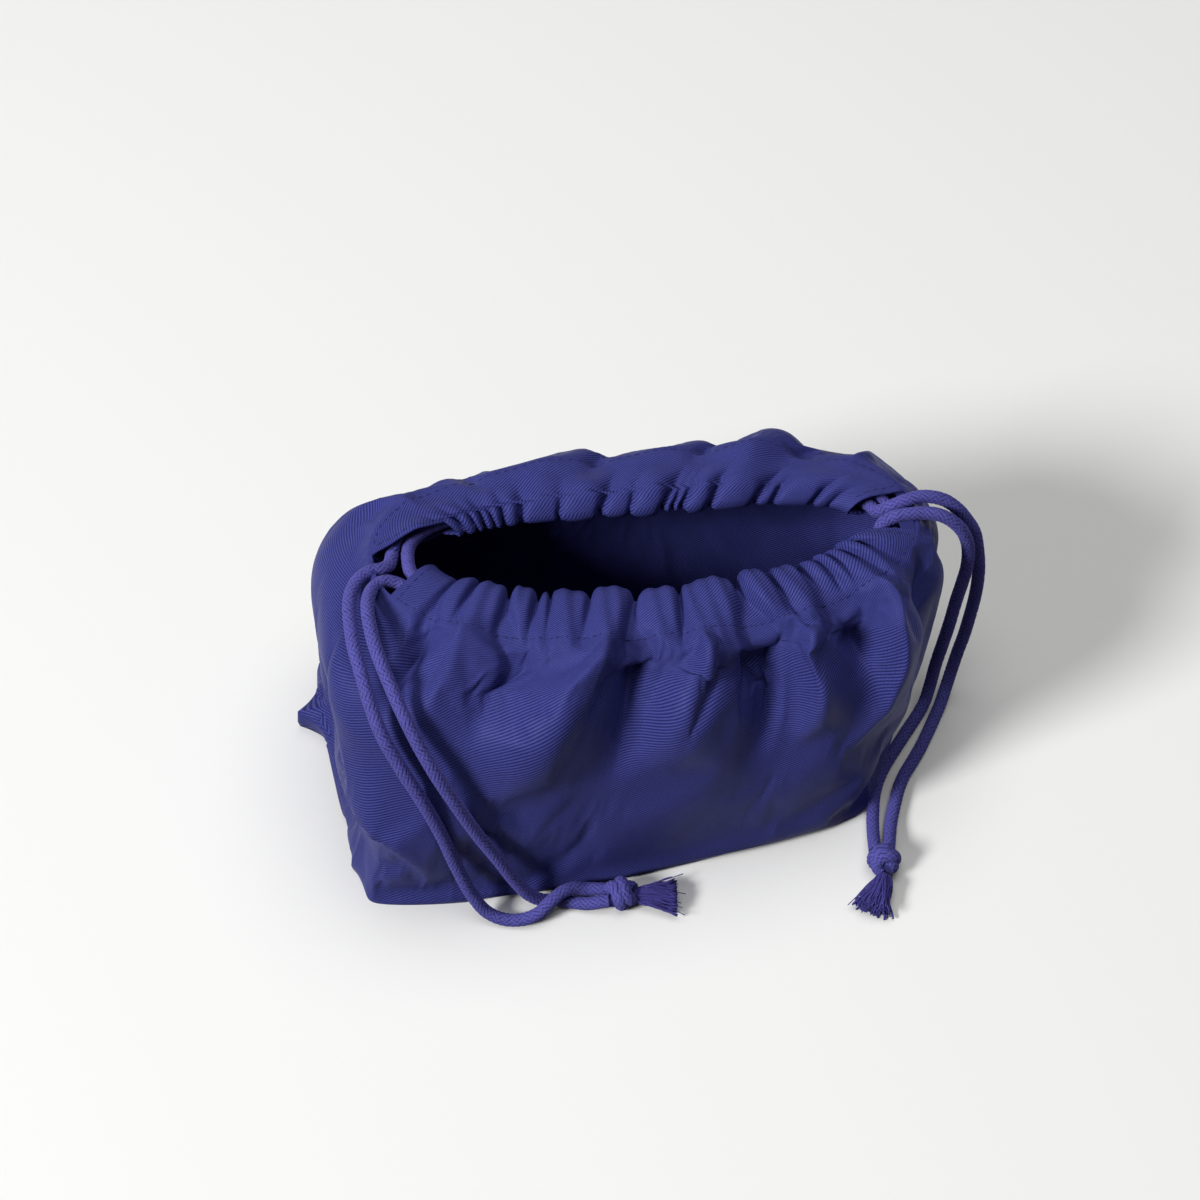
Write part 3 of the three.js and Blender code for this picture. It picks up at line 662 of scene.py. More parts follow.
# Each ring with its share up.
RINGS = [
    (0.0, wall_ring(0, ((19, 4), (31, 19), (17, 16), (9, 17)), (40, 2), 8)),
    (0.03, wall_ring(0.027, ((19, 4), (28, 17), (15, 15), (8, 16)), (38, 2.2), 8)),
    (0.16, wall_ring(0.24, ((20, 3), (26, 14), (13, 13), (9, 13)), (30, 2.6), 5)),
    (0.33, wall_ring(0.5, ((18, 3), (18, 12), (10, 8), (12, 8)), (13, 3.2), 3)),
    (0.49, wall_ring(0.73, ((15, 6), (11, 12), (6, 6), (11, 4)), (5, 3.8), 2)),
    (0.6, wall_ring(0.89, ((12, 11), (7, 17), (5, 8), (10, 4)), (4.2, 3.8), 1)),
    (0.7, wall_ring(1, ((15, 19), (9, 25), (8, 10), (15, 6)), (3.6, 3.4), 0)),
    (0.78, mouth_ring(26, RIM + 0.2, 1)),
    (STITCHING, mouth_ring(18.4, RIM + 2.2, 0.9)),
    (0.87, mouth_ring(15.4, RIM + 2.9, 0.8)),
    (CREST, mouth_ring(9, RIM + 3.8, 0.5)),
    (0.97, mouth_ring(2.88, RIM + 3.3, 0.2)),
    (1.0, mouth_ring(0, RIM + 1, 0)),
]
RING_UPS = np.array([up for up, _ in RINGS])
# At each ring: the cloth is drawn 1.5 mm thick, and the casing is thick enough to go round its cords.
THICKNESS = np.array([1.5] * 8 + [2.1, 7.9, 9.9, 7.9, 2.55])
print("%d rings, the rim at %.1f mm" % (len(RINGS), RINGS[-1][1](0.25)[2]))


# %% The smooth cloth
def smooth(share, up):
    """Points of the cloth without its folds, for shares round it at one share up."""
    points = np.stack([ring(share) for _, ring in RINGS])
    i = min(max(np.searchsorted(RING_UPS, up, side="right") - 1, 0), len(RINGS) - 2)

    def slope(k):
        low, high = max(k - 1, 0), min(k + 1, len(RINGS) - 1)
        return (points[high] - points[low]) / (RING_UPS[high] - RING_UPS[low])

    step = RING_UPS[i + 1] - RING_UPS[i]
    t = (up - RING_UPS[i]) / step
    return ((2 * t**3 - 3 * t**2 + 1) * points[i] + (t**3 - 2 * t**2 + t) * step * slope(i)
            + (3 * t**2 - 2 * t**3) * points[i + 1] + (t**3 - t**2) * step * slope(i + 1))


ROUND_STEP, UP_STEP = 1 / 360, 0.004


def outward(share, up):
    """The direction that the smooth cloth faces."""
    share = np.asarray(share, float)
    round_it = smooth(share + ROUND_STEP, up) - smooth(share - ROUND_STEP, up)
    rising = smooth(share, min(up + UP_STEP, 1)) - smooth(share, max(up - UP_STEP, 0))
    return unit(np.cross(round_it, rising))


print("halfway up the middle of the front:", smooth(np.array([0.25]), 0.5).round(1)[0])


# %% [markdown]
# ## Folds
#
# Where the cords draw the mouth in, the cloth has too much length round it, so it falls into folds that fan
# out from the casing and fade on the walls. Each is a soft ridge or valley along a line on the flat cloth,
# placed where the real one lies. A displacement texture could raise folds too, but not each in its place.

# %% The flat cloth
ROUND = 680.0  # its whole way round


def flat_up(up):
    """How far up the flat cloth a share up lies, in millimetres from the edge of the floor."""
    return np.interp(up, [-0.2, 0, 0.7, STITCHING, 1], [-28, 0, 97, 130, 154])


print("from the floor to the rim the flat cloth is %.0f mm" % flat_up(1))

# %% Where the folds lie
# Each fold: its line as (share round, share up), from its foot to its top, its half width at the foot and the
# top, its height, and how sharp it is.
FOLDS = [
    # The valleys of the front, from left to right, and the lit ridges between them.
    ([(0.147, 0.56), (0.157, 0.76), (0.12, 0.95)], 8, 4, -8.0, 1.6),
    ([(0.232, 0.38), (0.242, 0.68), (0.233, 0.9)], 11, 5, -12.0, 1.6),
    ([(0.329, 0.34), (0.32, 0.68), (0.328, 0.93)], 13, 6, -16.0, 1.8),
    ([(0.392, 0.48), (0.384, 0.68), (0.393, 0.9)], 10, 5, -13.0, 1.7),
    ([(0.16, 0.4), (0.2, 0.64), (0.213, 0.84)], 19, 8, 9.0, 2.0),
    ([(0.256, 0.42), (0.276, 0.64), (0.284, 0.85)], 15, 8, 9.0, 2.0),
    ([(0.348, 0.42), (0.352, 0.62), (0.352, 0.82)], 10, 6, 8.5, 1.8),
    ([(0.386, 0.34), (0.396, 0.52), (0.406, 0.66), (0.422, 0.88)], 8, 5, 7.5, 1.5),
    ([(0.192, 0.46), (0.218, 0.66), (0.222, 0.8)], 6, 3, -2.4, 1.6),
    ([(0.262, 0.48), (0.288, 0.68), (0.29, 0.84)], 5, 3, -3.0, 1.6),
    ([(0.116, 0.58), (0.12, 0.72), (0.1, 0.88)], 10, 4, 4.0, 1.8),
    ([(0.094, 0.6), (0.09, 0.76), (0.07, 0.9)], 7, 4, -5.0, 1.7),
    ([(0.445, 0.38), (0.45, 0.64), (0.455, 0.84)], 15, 6, -10.0, 1.8),
    # The seam's crease at the left end and the pressed creases of the front left corner.
    ([(0.036, 0.14), (0.039, 0.5), (0.026, 0.74)], 4, 5, -4.2, 1.3),
    ([(0.15, 0.06), (0.11, 0.29), (0.069, 0.345), (0.032, 0.25)], 6, 6, 2.2, 1.1),
    ([(0.083, -0.2), (0.072, 0.33)], 6, 5, 3.0, 1.05),
    ([(0.062, 0.02), (0.05, 0.2)], 5, 5, -1.2, 1.4),
    # The folds of the back and of the right end.
    ([(0.765, 0.56), (0.795, 0.76), (0.831, 0.88), (0.854, 0.95)], 24, 8, 3.0, 1.8),
    ([(0.69, 0.56), (0.704, 0.77), (0.74, 0.89), (0.767, 0.95)], 24, 8, 2.8, 1.8),
    ([(0.644, 0.5), (0.644, 0.73), (0.652, 0.84), (0.655, 0.95)], 34, 12, 6.0, 1.9),
    ([(0.604, 0.7), (0.612, 0.78), (0.62, 0.86)], 14, 8, -5.0, 1.8),
    ([(0.682, 0.66), (0.684, 0.78), (0.7, 0.86)], 7, 4, -3.6, 1.7),
    ([(0.75, 0.66), (0.77, 0.8), (0.79, 0.88)], 8, 4, -3.6, 1.7),
    ([(0.575, 0.55), (0.578, 0.7), (0.575, 0.86)], 10, 5, 2.6, 1.7),
    ([(0.86, 0.62), (0.876, 0.76), (0.885, 0.88)], 8, 4, -4.0, 1.7),
    ([(0.91, 0.6), (0.93, 0.76), (0.94, 0.88)], 9, 4, 2.6, 1.7),
    ([(0.5, 0.1), (0.502, 0.45), (0.502, 0.72)], 5, 5, -2.6, 1.4),
    ([(0.53, 0.3), (0.545, 0.5), (0.54, 0.7)], 12, 6, -2.2, 1.8),
    # The corners of the bottom, which stand out like ears.
    ([(0.966, -0.03), (0.966, 0.1)], 8, 6, 11.0, 1.15),
    ([(0.475, 0.04), (0.47, 0.16)], 9, 8, 4.0, 1.8),
]
print("%d folds, the deepest %.0f mm" % (len(FOLDS), -min(fold[3] for fold in FOLDS)))


# %% Height of the folds
def nearest_on_line(x, y, line):
    """Distance from each point to a line, and the share of the way along it of the nearest place."""
    corners = np.array(line, float)
    lengths = np.linalg.norm(np.diff(corners, axis=0), axis=1)
    starts = np.r_[0, np.cumsum(lengths)]
    best, along = np.full(x.shape, 1e9), np.zeros(x.shape)
    for (x0, y0), (x1, y1), length, start in zip(corners, corners[1:], lengths, starts):
        t = np.clip(((x - x0) * (x1 - x0) + (y - y0) * (y1 - y0)) / length**2, 0, 1)
        away = np.hypot(x - x0 - t * (x1 - x0), y - y0 - t * (y1 - y0))
        closer = away < best
        best = np.where(closer, away, best)
        along = np.where(closer, (start + t * length) / starts[-1], along)
    return best, along


def fold_height(share, up):
    """All folds together. Each swells from its foot and dies away towards its top."""
    y = np.full_like(share, flat_up(up))
    total = np.zeros_like(share)
    for line, foot_width, top_width, height, power in FOLDS:
        middle = line[len(line) // 2][0]
        x = ((share - middle + 0.5) % 1.0 - 0.5) * ROUND
        flat = [((s - middle) * ROUND, float(flat_up(u))) for s, u in line]
        away, along = nearest_on_line(x, y, flat)
        width = foot_width + (top_width - foot_width) * along
        fade = smoothstep(along, -0.05, 0.4) * (1 - 0.75 * smoothstep(along, 0.82, 1.0))
        total += height * fade * np.exp(-((away / width) ** power))
    return total


print("the valley right of the middle sinks %.1f mm" % -fold_height(np.array([0.32]), 0.68)[0])


# %% [markdown]
# ## Gathers
#
# On the cords the casing is pushed together into gathers: narrow pinches with a puff of cloth between each
# two. Their places are listed, because even ones would look as if a machine had pleated them. Each leans and
# puffs a little differently by chance.

# %% Where the casing is gathered
# The casing is pinched in at these shares round, and puffs out between them.
GATHERS = [
    (0.062, 1.5), (0.084, 1.1), (0.118, 1.9), (0.146, 1.4), (0.158, 0.9), (0.192, 0.7), (0.231, 2.1),
    (0.272, 1.3), (0.326, 2.3), (0.357, 1.1), (0.39, 2.0), (0.409, 1.2), (0.422, 0.9),
    (0.437, 1.3), (0.453, 1.1), (0.54, 0.9), (0.56, 1.3), (0.602, 1.4), (0.618, 1.8), (0.665, 1.6),
    (0.69, 1.3), (0.699, 0.9), (0.709, 1.6), (0.745, 0.6), (0.773, 1.8), (0.818, 0.7), (0.86, 2.1),
    (0.881, 1.4), (0.895, 1.0), (0.906, 1.5), (0.919, 0.9), (0.935, 1.3), (0.955, 0.8),
]
PINCHES = np.array([share for share, _ in GATHERS])
pinch_depth = np.array([depth for _, depth in GATHERS])
pinch_width = 0.8 + 0.5 * pinch_depth
pinch_start = np.where(PINCHES < 0.5, 0.96, 0.985)
pinch_reach = np.where(PINCHES < 0.5, 0.2 + 0.12 * pinch_depth, 0.05 + 0.02 * pinch_depth)
pinch_lean = chance.uniform(-0.07, 0.07, len(PINCHES))
puff = chance.uniform(0.5, 1.4, len(PINCHES))
print("%d pinches, and puffs from %.2f to %.2f" % (len(PINCHES), puff.min(), puff.max()))


# %% Height of the gathers
def slant(share):
    """How far round a gather drifts for each share that it climbs."""
    return np.interp(share, [0.0, 0.14, 0.23, 0.31, 0.39, 0.47, 0.55, 0.65, 0.72, 0.82, 0.9, 1.0],
                     [-0.12, -0.15, 0.0, 0.09, 0.12, 0.15, 0.0, 0.1, 0.2, 0.25, 0.2, -0.1])


def pinch_height(straight, up):
    """How far the pinches sink in. Each is narrow and deep on the casing, and widens and fades below it."""
    total = np.zeros_like(straight)
    pinches = zip(PINCHES, pinch_depth, pinch_width, pinch_start, pinch_reach, pinch_lean)
    for at, depth, wide, start, reach, lean in pinches:
        below = min(max((start - up) / reach, 0), 1)
        width = wide + 7.0 * below
        away = ((straight - lean * (up - 0.97) - at + 0.5) % 1.0 - 0.5) * ROUND
        total -= depth * (1 - below) ** 1.3 * 3.0 * np.exp(-np.abs(away / width) ** 1.25)
    return total


def puff_height(straight, up):
    """How far the cloth puffs out between one pinch and the next, less where they lie close together."""
    lap = np.r_[PINCHES[-1] - 1, PINCHES, PINCHES[0] + 1]
    after = np.clip(np.searchsorted(lap, straight % 1.0), 1, len(lap) - 1)
    t = (straight % 1.0 - lap[after - 1]) / (lap[after] - lap[after - 1])
    wide = np.minimum((lap[after] - lap[after - 1]) * ROUND / 24, 1.0)
    soften = 0.5 + 1.5 * (1 - float(smoothstep(up, 0.74, 0.93)))
    return np.sin(np.pi * np.clip(t, 0, 1)) ** soften * wide * puff[after % len(PINCHES)]


def gather_height(share, up):
    """Pinches, puffs and, along the front, ripples of about 14 and 36 mm."""
    share = share % 1.0
    straight = share - slant(share) * (up - CREST)
    total = pinch_height(straight, up)
    swell = puff_height(straight, up)
    foot = 0.88 - 0.26 * smoothstep(share, 0.03, 0.1) * (1 - smoothstep(share, 0.42, 0.5))
    front = smoothstep(share, 0.04, 0.1) * (1 - smoothstep(share, 0.42, 0.48))
    small = np.sin(straight * 2 * np.pi * 47 + 12 * up) * np.sin(straight * 2 * np.pi * 19 + 9 * up)
    total += 0.5 * front * small * smoothstep(up, 0.68, 0.9)
    return total + (1.4 + 2.3 * swell) * smoothstep((up - foot) / (0.95 - foot), 0, 1)


print("the casing goes in and out by %.1f mm" % np.ptp(gather_height(np.linspace(0.1, 0.4, 300), CREST)))


# %% [markdown]
# ## The whole height of the cloth
#
# Besides folds and gathers, cloth has a slow unevenness everywhere, a slight dent along a seam, and it lies
# flat beside the slots, where its layers are sewn down. The deepest valleys are held off the inside.

# %% Folds, gathers and unevenness together
SEAM_DENT, SEAM_WIDTH = 0.12, 0.006
DEEPEST, ROOM_ABOVE = -17, 15.3  # a valley may sink 17 mm into the walls, and 1.7 mm into the casing


def drape(share, up):
    """Slow, slight unevenness everywhere, so that no stretch of the cloth is a perfect curve."""
    x, y = share * 2 * np.pi, flat_up(up) / 100
    waves = ((3, 2.1, 0.5), (5, -3.3, 1.9), (8, 4.2, 4.4), (13, -6.1, 2.7), (21, 7.7, 0.3))
    return sum(np.sin(k * x + s * y * 2 + p) * 1.1 / (i + 1.6) for i, (k, s, p) in enumerate(waves))


def near_slot(share):
    """One beside a slot and zero elsewhere, where the casing's ends lie flat."""
    left, right = (np.abs((share - middle + 0.5) % 1.0 - 0.5) for middle in (0.02, 0.51))
    return np.maximum(1 - smoothstep(left, 0.03, 0.05), 1 - smoothstep(right, 0.028, 0.048))


def height(share, up):
    """How far the cloth stands out from the smooth cloth, with a soft limit on how deep it sinks."""
    share = np.asarray(share, float)
    gathers = gather_height(share, up) * (1 - 0.65 * near_slot(share))
    stitched = SEAM_DENT * math.exp(-(((up - STITCHING) / SEAM_WIDTH) ** 2))
    folds = fold_height(share, up) * (1 - 0.8 * smoothstep(up, STITCHING, 0.97))
    total = folds + gathers + 0.6 * smoothstep(up, 0.0, 0.06) * drape(share, up) - stitched
    deepest = DEEPEST + ROOM_ABOVE * smoothstep(up, 0.58, 0.88)
    over = total - deepest
    return deepest + 0.5 * (over + np.sqrt(over**2 + 0.6))


print("the walls go in and out by %.1f mm" % np.ptp(height(np.linspace(0, 1, 400), 0.7)))


# %% The two faces of the cloth
INSIDE_FOLLOWS = 4.0  # the inside leaves a ridge that stands out further than this
CASING_FOLLOWS, CASING_MOST = 0.35, 1.0


def outside(share, up):
    return smooth(share, up) + outward(share, up) * height(share, up)[..., None]


def inside(share, up, inset=0.0):
    """The other face, which follows the folds less closely, and the gathers least."""
    below = outward(share, CREST if up > STITCHING else up)
    thickness = np.interp(up, RING_UPS, THICKNESS)
    follow = np.minimum(height(share, up), INSIDE_FOLLOWS)
    if up > STITCHING:
        follow = np.minimum(follow * CASING_FOLLOWS, CASING_MOST)
    return smooth(share, up) + outward(share, up) * follow[..., None] - below * (thickness + inset)


print("the crest of the middle of the front:", outside(np.array([0.25]), CREST).round(1)[0])


# %% [markdown]
# ## Letting the cloth settle
#
# The worked-out folds are a start, but real cloth also buckles a little between them, and that is what a
# simulation is good at. A coarser copy of the cloth, cut a little too long for its place, is held at the
# stitching and at the floor and settles for a few frames. A smooth shell inside keeps it from falling in.
# How far each point moved is then added to the fine cloth.

# %% The cloth that settles
SETTLE_COLUMNS = 420
SETTLE_FRAMES = 20
SLACK = 1.015  # how much too long it is cut round the pouch
MOST_MOVE = 4.0
settle_ups = np.concatenate([np.linspace(0, 0.7, 38)[:-1], np.linspace(0.7, STITCHING, 16)])


def cut_cone(start, share):
    """The cut of the settling cloth: a plain cone whose rows are as long as they lie, and a little more."""
    laps = np.linalg.norm(np.roll(start, -1, axis=1) - start, axis=2).sum(axis=1)
    more = 1 + (SLACK - 1) * smoothstep(settle_ups, 0.1, 0.6)
    radius = laps * more / (2 * np.pi)
    rise = np.linalg.norm(np.diff(start, axis=0), axis=2).mean(axis=1) * 1.01
    climb = np.sqrt(np.maximum(rise**2 - np.diff(radius) ** 2, 0.2))
    level = np.r_[0, np.cumsum(climb)]
    angle = 2 * np.pi * share
    return np.stack([np.cos(angle)[None] * radius[:, None], np.sin(angle)[None] * radius[:, None],
                     np.repeat(level[:, None], len(share), 1)], -1)


def cut_and_held(share):
    """The cloth to settle, with its cut as a shape key and the points that stay put as a group."""
    start = np.stack([outside(share, up) for up in settle_ups])
    start[0, :, 2] = 0.3
    rows, columns = start.shape[:2]
    cloth = add_mesh("settling_cloth", start.reshape(-1, 3), grid_faces(rows, columns, wrap=True), twill)
    cloth.shape_key_add(name="start")
    cut = cloth.shape_key_add(name="cut")
    cut.data.foreach_set("co", (cut_cone(start, share).reshape(-1, 3) / MM).ravel())
    cut.value = 0
    held = cloth.vertex_groups.new(name="held")
    held.add(list(range(2 * columns)), 1.0, "REPLACE")
    held.add(list(range((rows - 2) * columns, rows * columns)), 1.0, "REPLACE")
    return cloth, cut, start


print("the settling cloth has %d points" % (len(settle_ups) * SETTLE_COLUMNS))


# %% What it rests on
SHELL_INSET, SHELL_ROWS = 17, 12
PLATE = [(-300, -300, -1), (300, -300, -1), (300, 300, -1), (-300, 300, -1)]


def obstacle(name, points, faces):
    """A mesh that the cloth can't pass. Cloth stays 1 mm off it."""
    piece = add_mesh(name, points, faces, twill)
    piece.modifiers.new("collision", "COLLISION")
    piece.collision.thickness_outer = 0.001
    return piece


def obstacles(share):
    """The shell inside the cloth, and the floor below it."""
    coarse = share[::4]
    shell = np.stack([smooth(coarse, up) - outward(coarse, up) * SHELL_INSET
                      for up in np.linspace(0, 0.7, SHELL_ROWS)])
    faces = grid_faces(SHELL_ROWS, len(coarse), wrap=True)
    return [obstacle("shell", shell.reshape(-1, 3), faces), obstacle("plate", PLATE, [[0, 1, 2, 3]])]


print("the shell stands %d mm inside the cloth" % SHELL_INSET)


# %% Cloth simulation
# Thin twill weighs little and bends easily, and the damping brings it to rest within a few frames.
CLOTH_FEEL = dict(
    quality=7, mass=0.12, tension_stiffness=18, compression_stiffness=18, shear_stiffness=6,
    bending_stiffness=0.6, tension_damping=12, compression_damping=12, shear_damping=12,
    bending_damping=1.0, air_damping=3, vertex_group_mass="held")
LIGHT_PULL = 0.12  # of gravity, so that it buckles before it sags


def settle():
    """How far each point of the settling cloth moves, with no move longer than the cap."""
    share = np.arange(SETTLE_COLUMNS) / SETTLE_COLUMNS
    cloth, cut, start = cut_and_held(share)
    helpers = [cloth, *obstacles(share)]
    modifier = cloth.modifiers.new("cloth", "CLOTH")
    for setting, value in CLOTH_FEEL.items():
        setattr(modifier.settings, setting, value)
    modifier.settings.rest_shape_key = cut
    modifier.settings.effector_weights.gravity = LIGHT_PULL
    modifier.collision_settings.distance_min = 0.001
    modifier.collision_settings.use_self_collision = False
    modifier.point_cache.frame_end = SETTLE_FRAMES
    for number in range(1, SETTLE_FRAMES + 1):
        scene.frame_set(number)
    seen = cloth.evaluated_get(bpy.context.evaluated_depsgraph_get()).to_mesh()
    after = np.empty(len(seen.vertices) * 3)
    seen.vertices.foreach_get("co", after)
    move = after.reshape(start.shape) * MM - start
    scene.frame_set(1)
    for helper in helpers:
        bpy.data.objects.remove(helper, do_unlink=True)
    size = np.linalg.norm(move, axis=-1, keepdims=True)
    print("cloth settled: largest move %.1f mm, mean %.1f mm" % (size.max(), size.mean()))
    return move * np.minimum(1, MOST_MOVE / np.maximum(size, 1e-6))


settled = settle()


# %% The move at any place on the cloth
def settling(share, up):
    """How far the cloth moved as it settled, at any place on it."""
    if up >= STITCHING:
        return np.zeros((len(share), 3))
    row = np.interp(up, settle_ups, np.arange(len(settle_ups)))
    low = min(int(row), len(settle_ups) - 2)
    level = settled[low] * (1 - row + low) + settled[low + 1] * (row - low)
    column = (np.asarray(share) % 1.0) * SETTLE_COLUMNS
    before = column.astype(int) % SETTLE_COLUMNS
    part = (column - column.astype(int))[:, None]
    return level[before] * (1 - part) + level[(before + 1) % SETTLE_COLUMNS] * part


print("the middle of the front moved by", settling(np.array([0.25]), 0.6).round(2)[0])


# %% [markdown]
# ## Slots
#
# The side seams stop short of the rim, and there the casing is open at both ends of the mouth, so that the
# cords can come out. A slot is cut straight into the casing, widens a little downwards and ends at the
# stitching.

# %% Edges of the slots
# Each slot's share round at the rim and at the stitching.
SLOTS = {"left": (-0.008, 0.02), "right": (0.498, 0.502)}
HALF_AT_RIM, HALF_AT_STITCHING = 5.0, 9.25
STARTS_BEFORE = 12  # the slot begins to widen this far inside the rim
SEARCH_REACH, SEARCH_STEPS = 0.07, 561


def slot_edges(name, up):
    """The shares just before and just after a slot at one share up."""
    rim, stitching = SLOTS[name]
    at_rim, at_stitching = smooth(np.array([rim]), 1.0)[0], smooth(np.array([stitching]), STITCHING)[0]
    outwards = at_stitching[:2] - at_rim[:2]
    reach = np.linalg.norm(outwards)
    outwards = outwards / reach
    aside = np.array([-outwards[1], outwards[0]])
    shares = np.linspace(stitching - SEARCH_REACH, stitching + SEARCH_REACH, SEARCH_STEPS)
    away = smooth(shares, up)[:, :2] - at_rim[:2]
    out, side = away @ outwards, away @ aside
    widen = (out + STARTS_BEFORE) / (reach + STARTS_BEFORE)
    within = np.abs(side) < HALF_AT_RIM + (HALF_AT_STITCHING - HALF_AT_RIM) * widen
    return shares[within][0], shares[within][-1]


for name in SLOTS:
    before, after = slot_edges(name, STITCHING)
    print("the %s slot is %.1f mm wide on the flat cloth at the stitching" % (name, (after - before) * ROUND))


# %% [markdown]
# ## The outside of the cloth
#
# One grid makes the whole outside. Its columns close up round the pouch, and above the stitching they part at
# the slots, where no faces are made. Its last rows roll over the rim and a little way under it.

# %% Columns that part at the slots
def column_shares(up, front, slot, back):
    """Shares of the columns: the front of the casing, the right slot, the back, and the left slot."""
    level = max(up, STITCHING)
    (left_low, left_high), (right_low, right_high) = slot_edges("left", level), slot_edges("right", level)
    return np.concatenate([
        np.linspace(left_high, right_low, front),
        np.linspace(right_low, right_high, slot + 2)[1:-1],
        np.linspace(right_high, left_low + 1, back),
        np.linspace(left_low + 1, left_high + 1, slot + 2)[1:-1]])


def open_at_slots(rows, is_open, front, slot, back):
    """Which faces of a grid are kept: all but those in a slot, for the rows that are open there."""
    r, c = np.indices((rows - 1, front + back + 2 * slot))
    in_slot = ((c >= front - 1) & (c < front + slot)) | (c >= front + slot + back - 1)
    return ~(is_open(r) & in_slot)


def on_flat_cloth(share, level):
    return np.stack([share * ROUND, np.full_like(share, level)], -1)


FRONT, SLOT, BACK = 452, 26, 456
print("%d columns, about %.1f mm apart" % (FRONT + BACK + 2 * SLOT, ROUND / (FRONT + BACK + 2 * SLOT)))


# %% Rows of the outside
UNDER_RIM = 0.05
ROLL_STEPS = (0.25, 0.5, 0.75, 1.0)


def rim_roll(share, t):
    """The turned edge of the rim, from the outside to the inside."""
    out, under = outside(share, 1.0), inside(share, 1.0)
    middle, half = (out + under) / 2, (out - under) / 2
    top = unit(outside(share, 1.0) - outside(share, 0.985)) * np.linalg.norm(half, axis=-1, keepdims=True)
    return middle + half * math.cos(math.pi * t) + top * math.sin(math.pi * t)


outside_ups = np.concatenate([
    np.linspace(0, 0.03, 4)[:-1], np.linspace(0.03, 0.56, 26)[:-1], np.linspace(0.56, STITCHING, 38),
    np.linspace(STITCHING, 0.97, 20)[1:], np.linspace(0.97, 1.0, 5)[1:]])
WALL_ROWS = np.count_nonzero(outside_ups <= STITCHING)
rows, flats = [], []
for up in outside_ups:
    share = column_shares(up, FRONT, SLOT, BACK)
    rows.append(outside(share, up) + settling(share, up))
    flats.append(on_flat_cloth(share, flat_up(up)))
for k, t in enumerate(ROLL_STEPS):
    rows.append(rim_roll(share, t))
    flats.append(on_flat_cloth(share, flat_up(1.0) + (k + 1)))
for up, further in ((0.985, 5.0), (0.965, 6.5)):
    share = column_shares(up, FRONT, SLOT, BACK)
    rows.append(inside(share, up, UNDER_RIM))
    flats.append(on_flat_cloth(share, flat_up(1.0) + further))
grid, flat = np.stack(rows), np.stack(flats)
grid[..., 2] = np.maximum(grid[..., 2], CLEAR_OF_FLOOR)
print("the outside has %d rows and stands %.1f mm tall" % (len(grid), grid[..., 2].max()))

# %% [markdown]
# ### Where the cords press into it
#
# The cords rest on the casing and the walls, and cloth gives way under them. Every point of the cloth that
# lies inside a strand is moved out to the strand's surface.

# %% Cloth gives way to the cords
pressed = 0
for path in strand_paths.values():
    for centre in path[::3]:
        away = grid - centre
        distance = np.linalg.norm(away, axis=-1)
        near = distance < CORD / 2 + 0.1
        grid[near] = centre + away[near] / distance[near][:, None] * (CORD / 2 + 0.1)
        pressed += near.sum()
grid[..., 2] = np.maximum(grid[..., 2], CLEAR_OF_FLOOR)
keep = open_at_slots(len(grid), lambda row: row >= WALL_ROWS - 1, FRONT, SLOT, BACK)
verts, uv = grid.reshape(-1, 3), flat.reshape(-1, 2)
faces = grid_faces(*grid.shape[:2], keep=keep, wrap=True)
print("the cords press in %d points, and %d faces are kept" % (pressed, len(faces)))


# %% [markdown]
# ### Turned-in ends
#
# Beside each slot the casing's cloth is folded under before it is stitched, so no raw edge shows. A narrow
# strip does this: it starts on the edge, rounds it and runs back under the casing.

# %% Turned-in ends of the casing
# Each band of the strip: how far in from the edge, how far down, and its place on the flat cloth.
TURN_IN = [(0, 0, 0), (-0.25, 0.3, 0.4), (0, 0.75, 0.9), (1.2, 0.95, 2.2), (7, 1.0, 8.0)]
BESIDE = 12  # columns, to tell which way the casing lies


def end_strip(column, inwards):
    """The turned-in strip along one column of the grid, where the casing lies on the inwards side."""
    edge, beside = grid[WALL_ROWS - 1 :, column], grid[WALL_ROWS - 1 :, column + inwards * BESIDE]
    into = unit(beside - edge)
    down = -unit(np.cross(np.gradient(edge, axis=0), into)) * inwards
    outwards = ((edge.mean(axis=0) - edge) * down).sum(-1, keepdims=True) < 0
    down = np.where(outwards, -down, down)
    bands = [edge + into * inn + down * under for inn, under, _ in TURN_IN]
    shift = [flat[WALL_ROWS - 1 :, column] + np.array([inwards * place, 0.0]) for _, _, place in TURN_IN]
    return np.stack(bands), np.stack(shift)


for column, inwards in ((0, 1), (FRONT - 1, -1), (FRONT + SLOT, 1), (FRONT + SLOT + BACK - 1, -1)):
    strip, strip_flat = end_strip(column, inwards)
    part = [face[::inwards * -1] for face in grid_faces(*strip.shape[:2])]
    faces += [[len(verts) + i for i in face] for face in part]
    verts = np.vstack([verts, strip.reshape(-1, 3)])
    uv = np.vstack([uv, strip_flat.reshape(-1, 2)])
cloth_outside = add_mesh("cloth_outside", verts, faces, twill, uv, ROUND)
print("the outside of the cloth has %d faces" % len(faces))


# %% [markdown]
# ## The inside of the cloth
#
# Looking in, one sees the underside of the casing and the plain walls below it. A second grid makes both. It
# starts below the rim, follows the folds less closely than the outside, and ends at the floor. A Solidify
# modifier on the outside could give an inner face too, but it would cut through itself in the tight gathers.

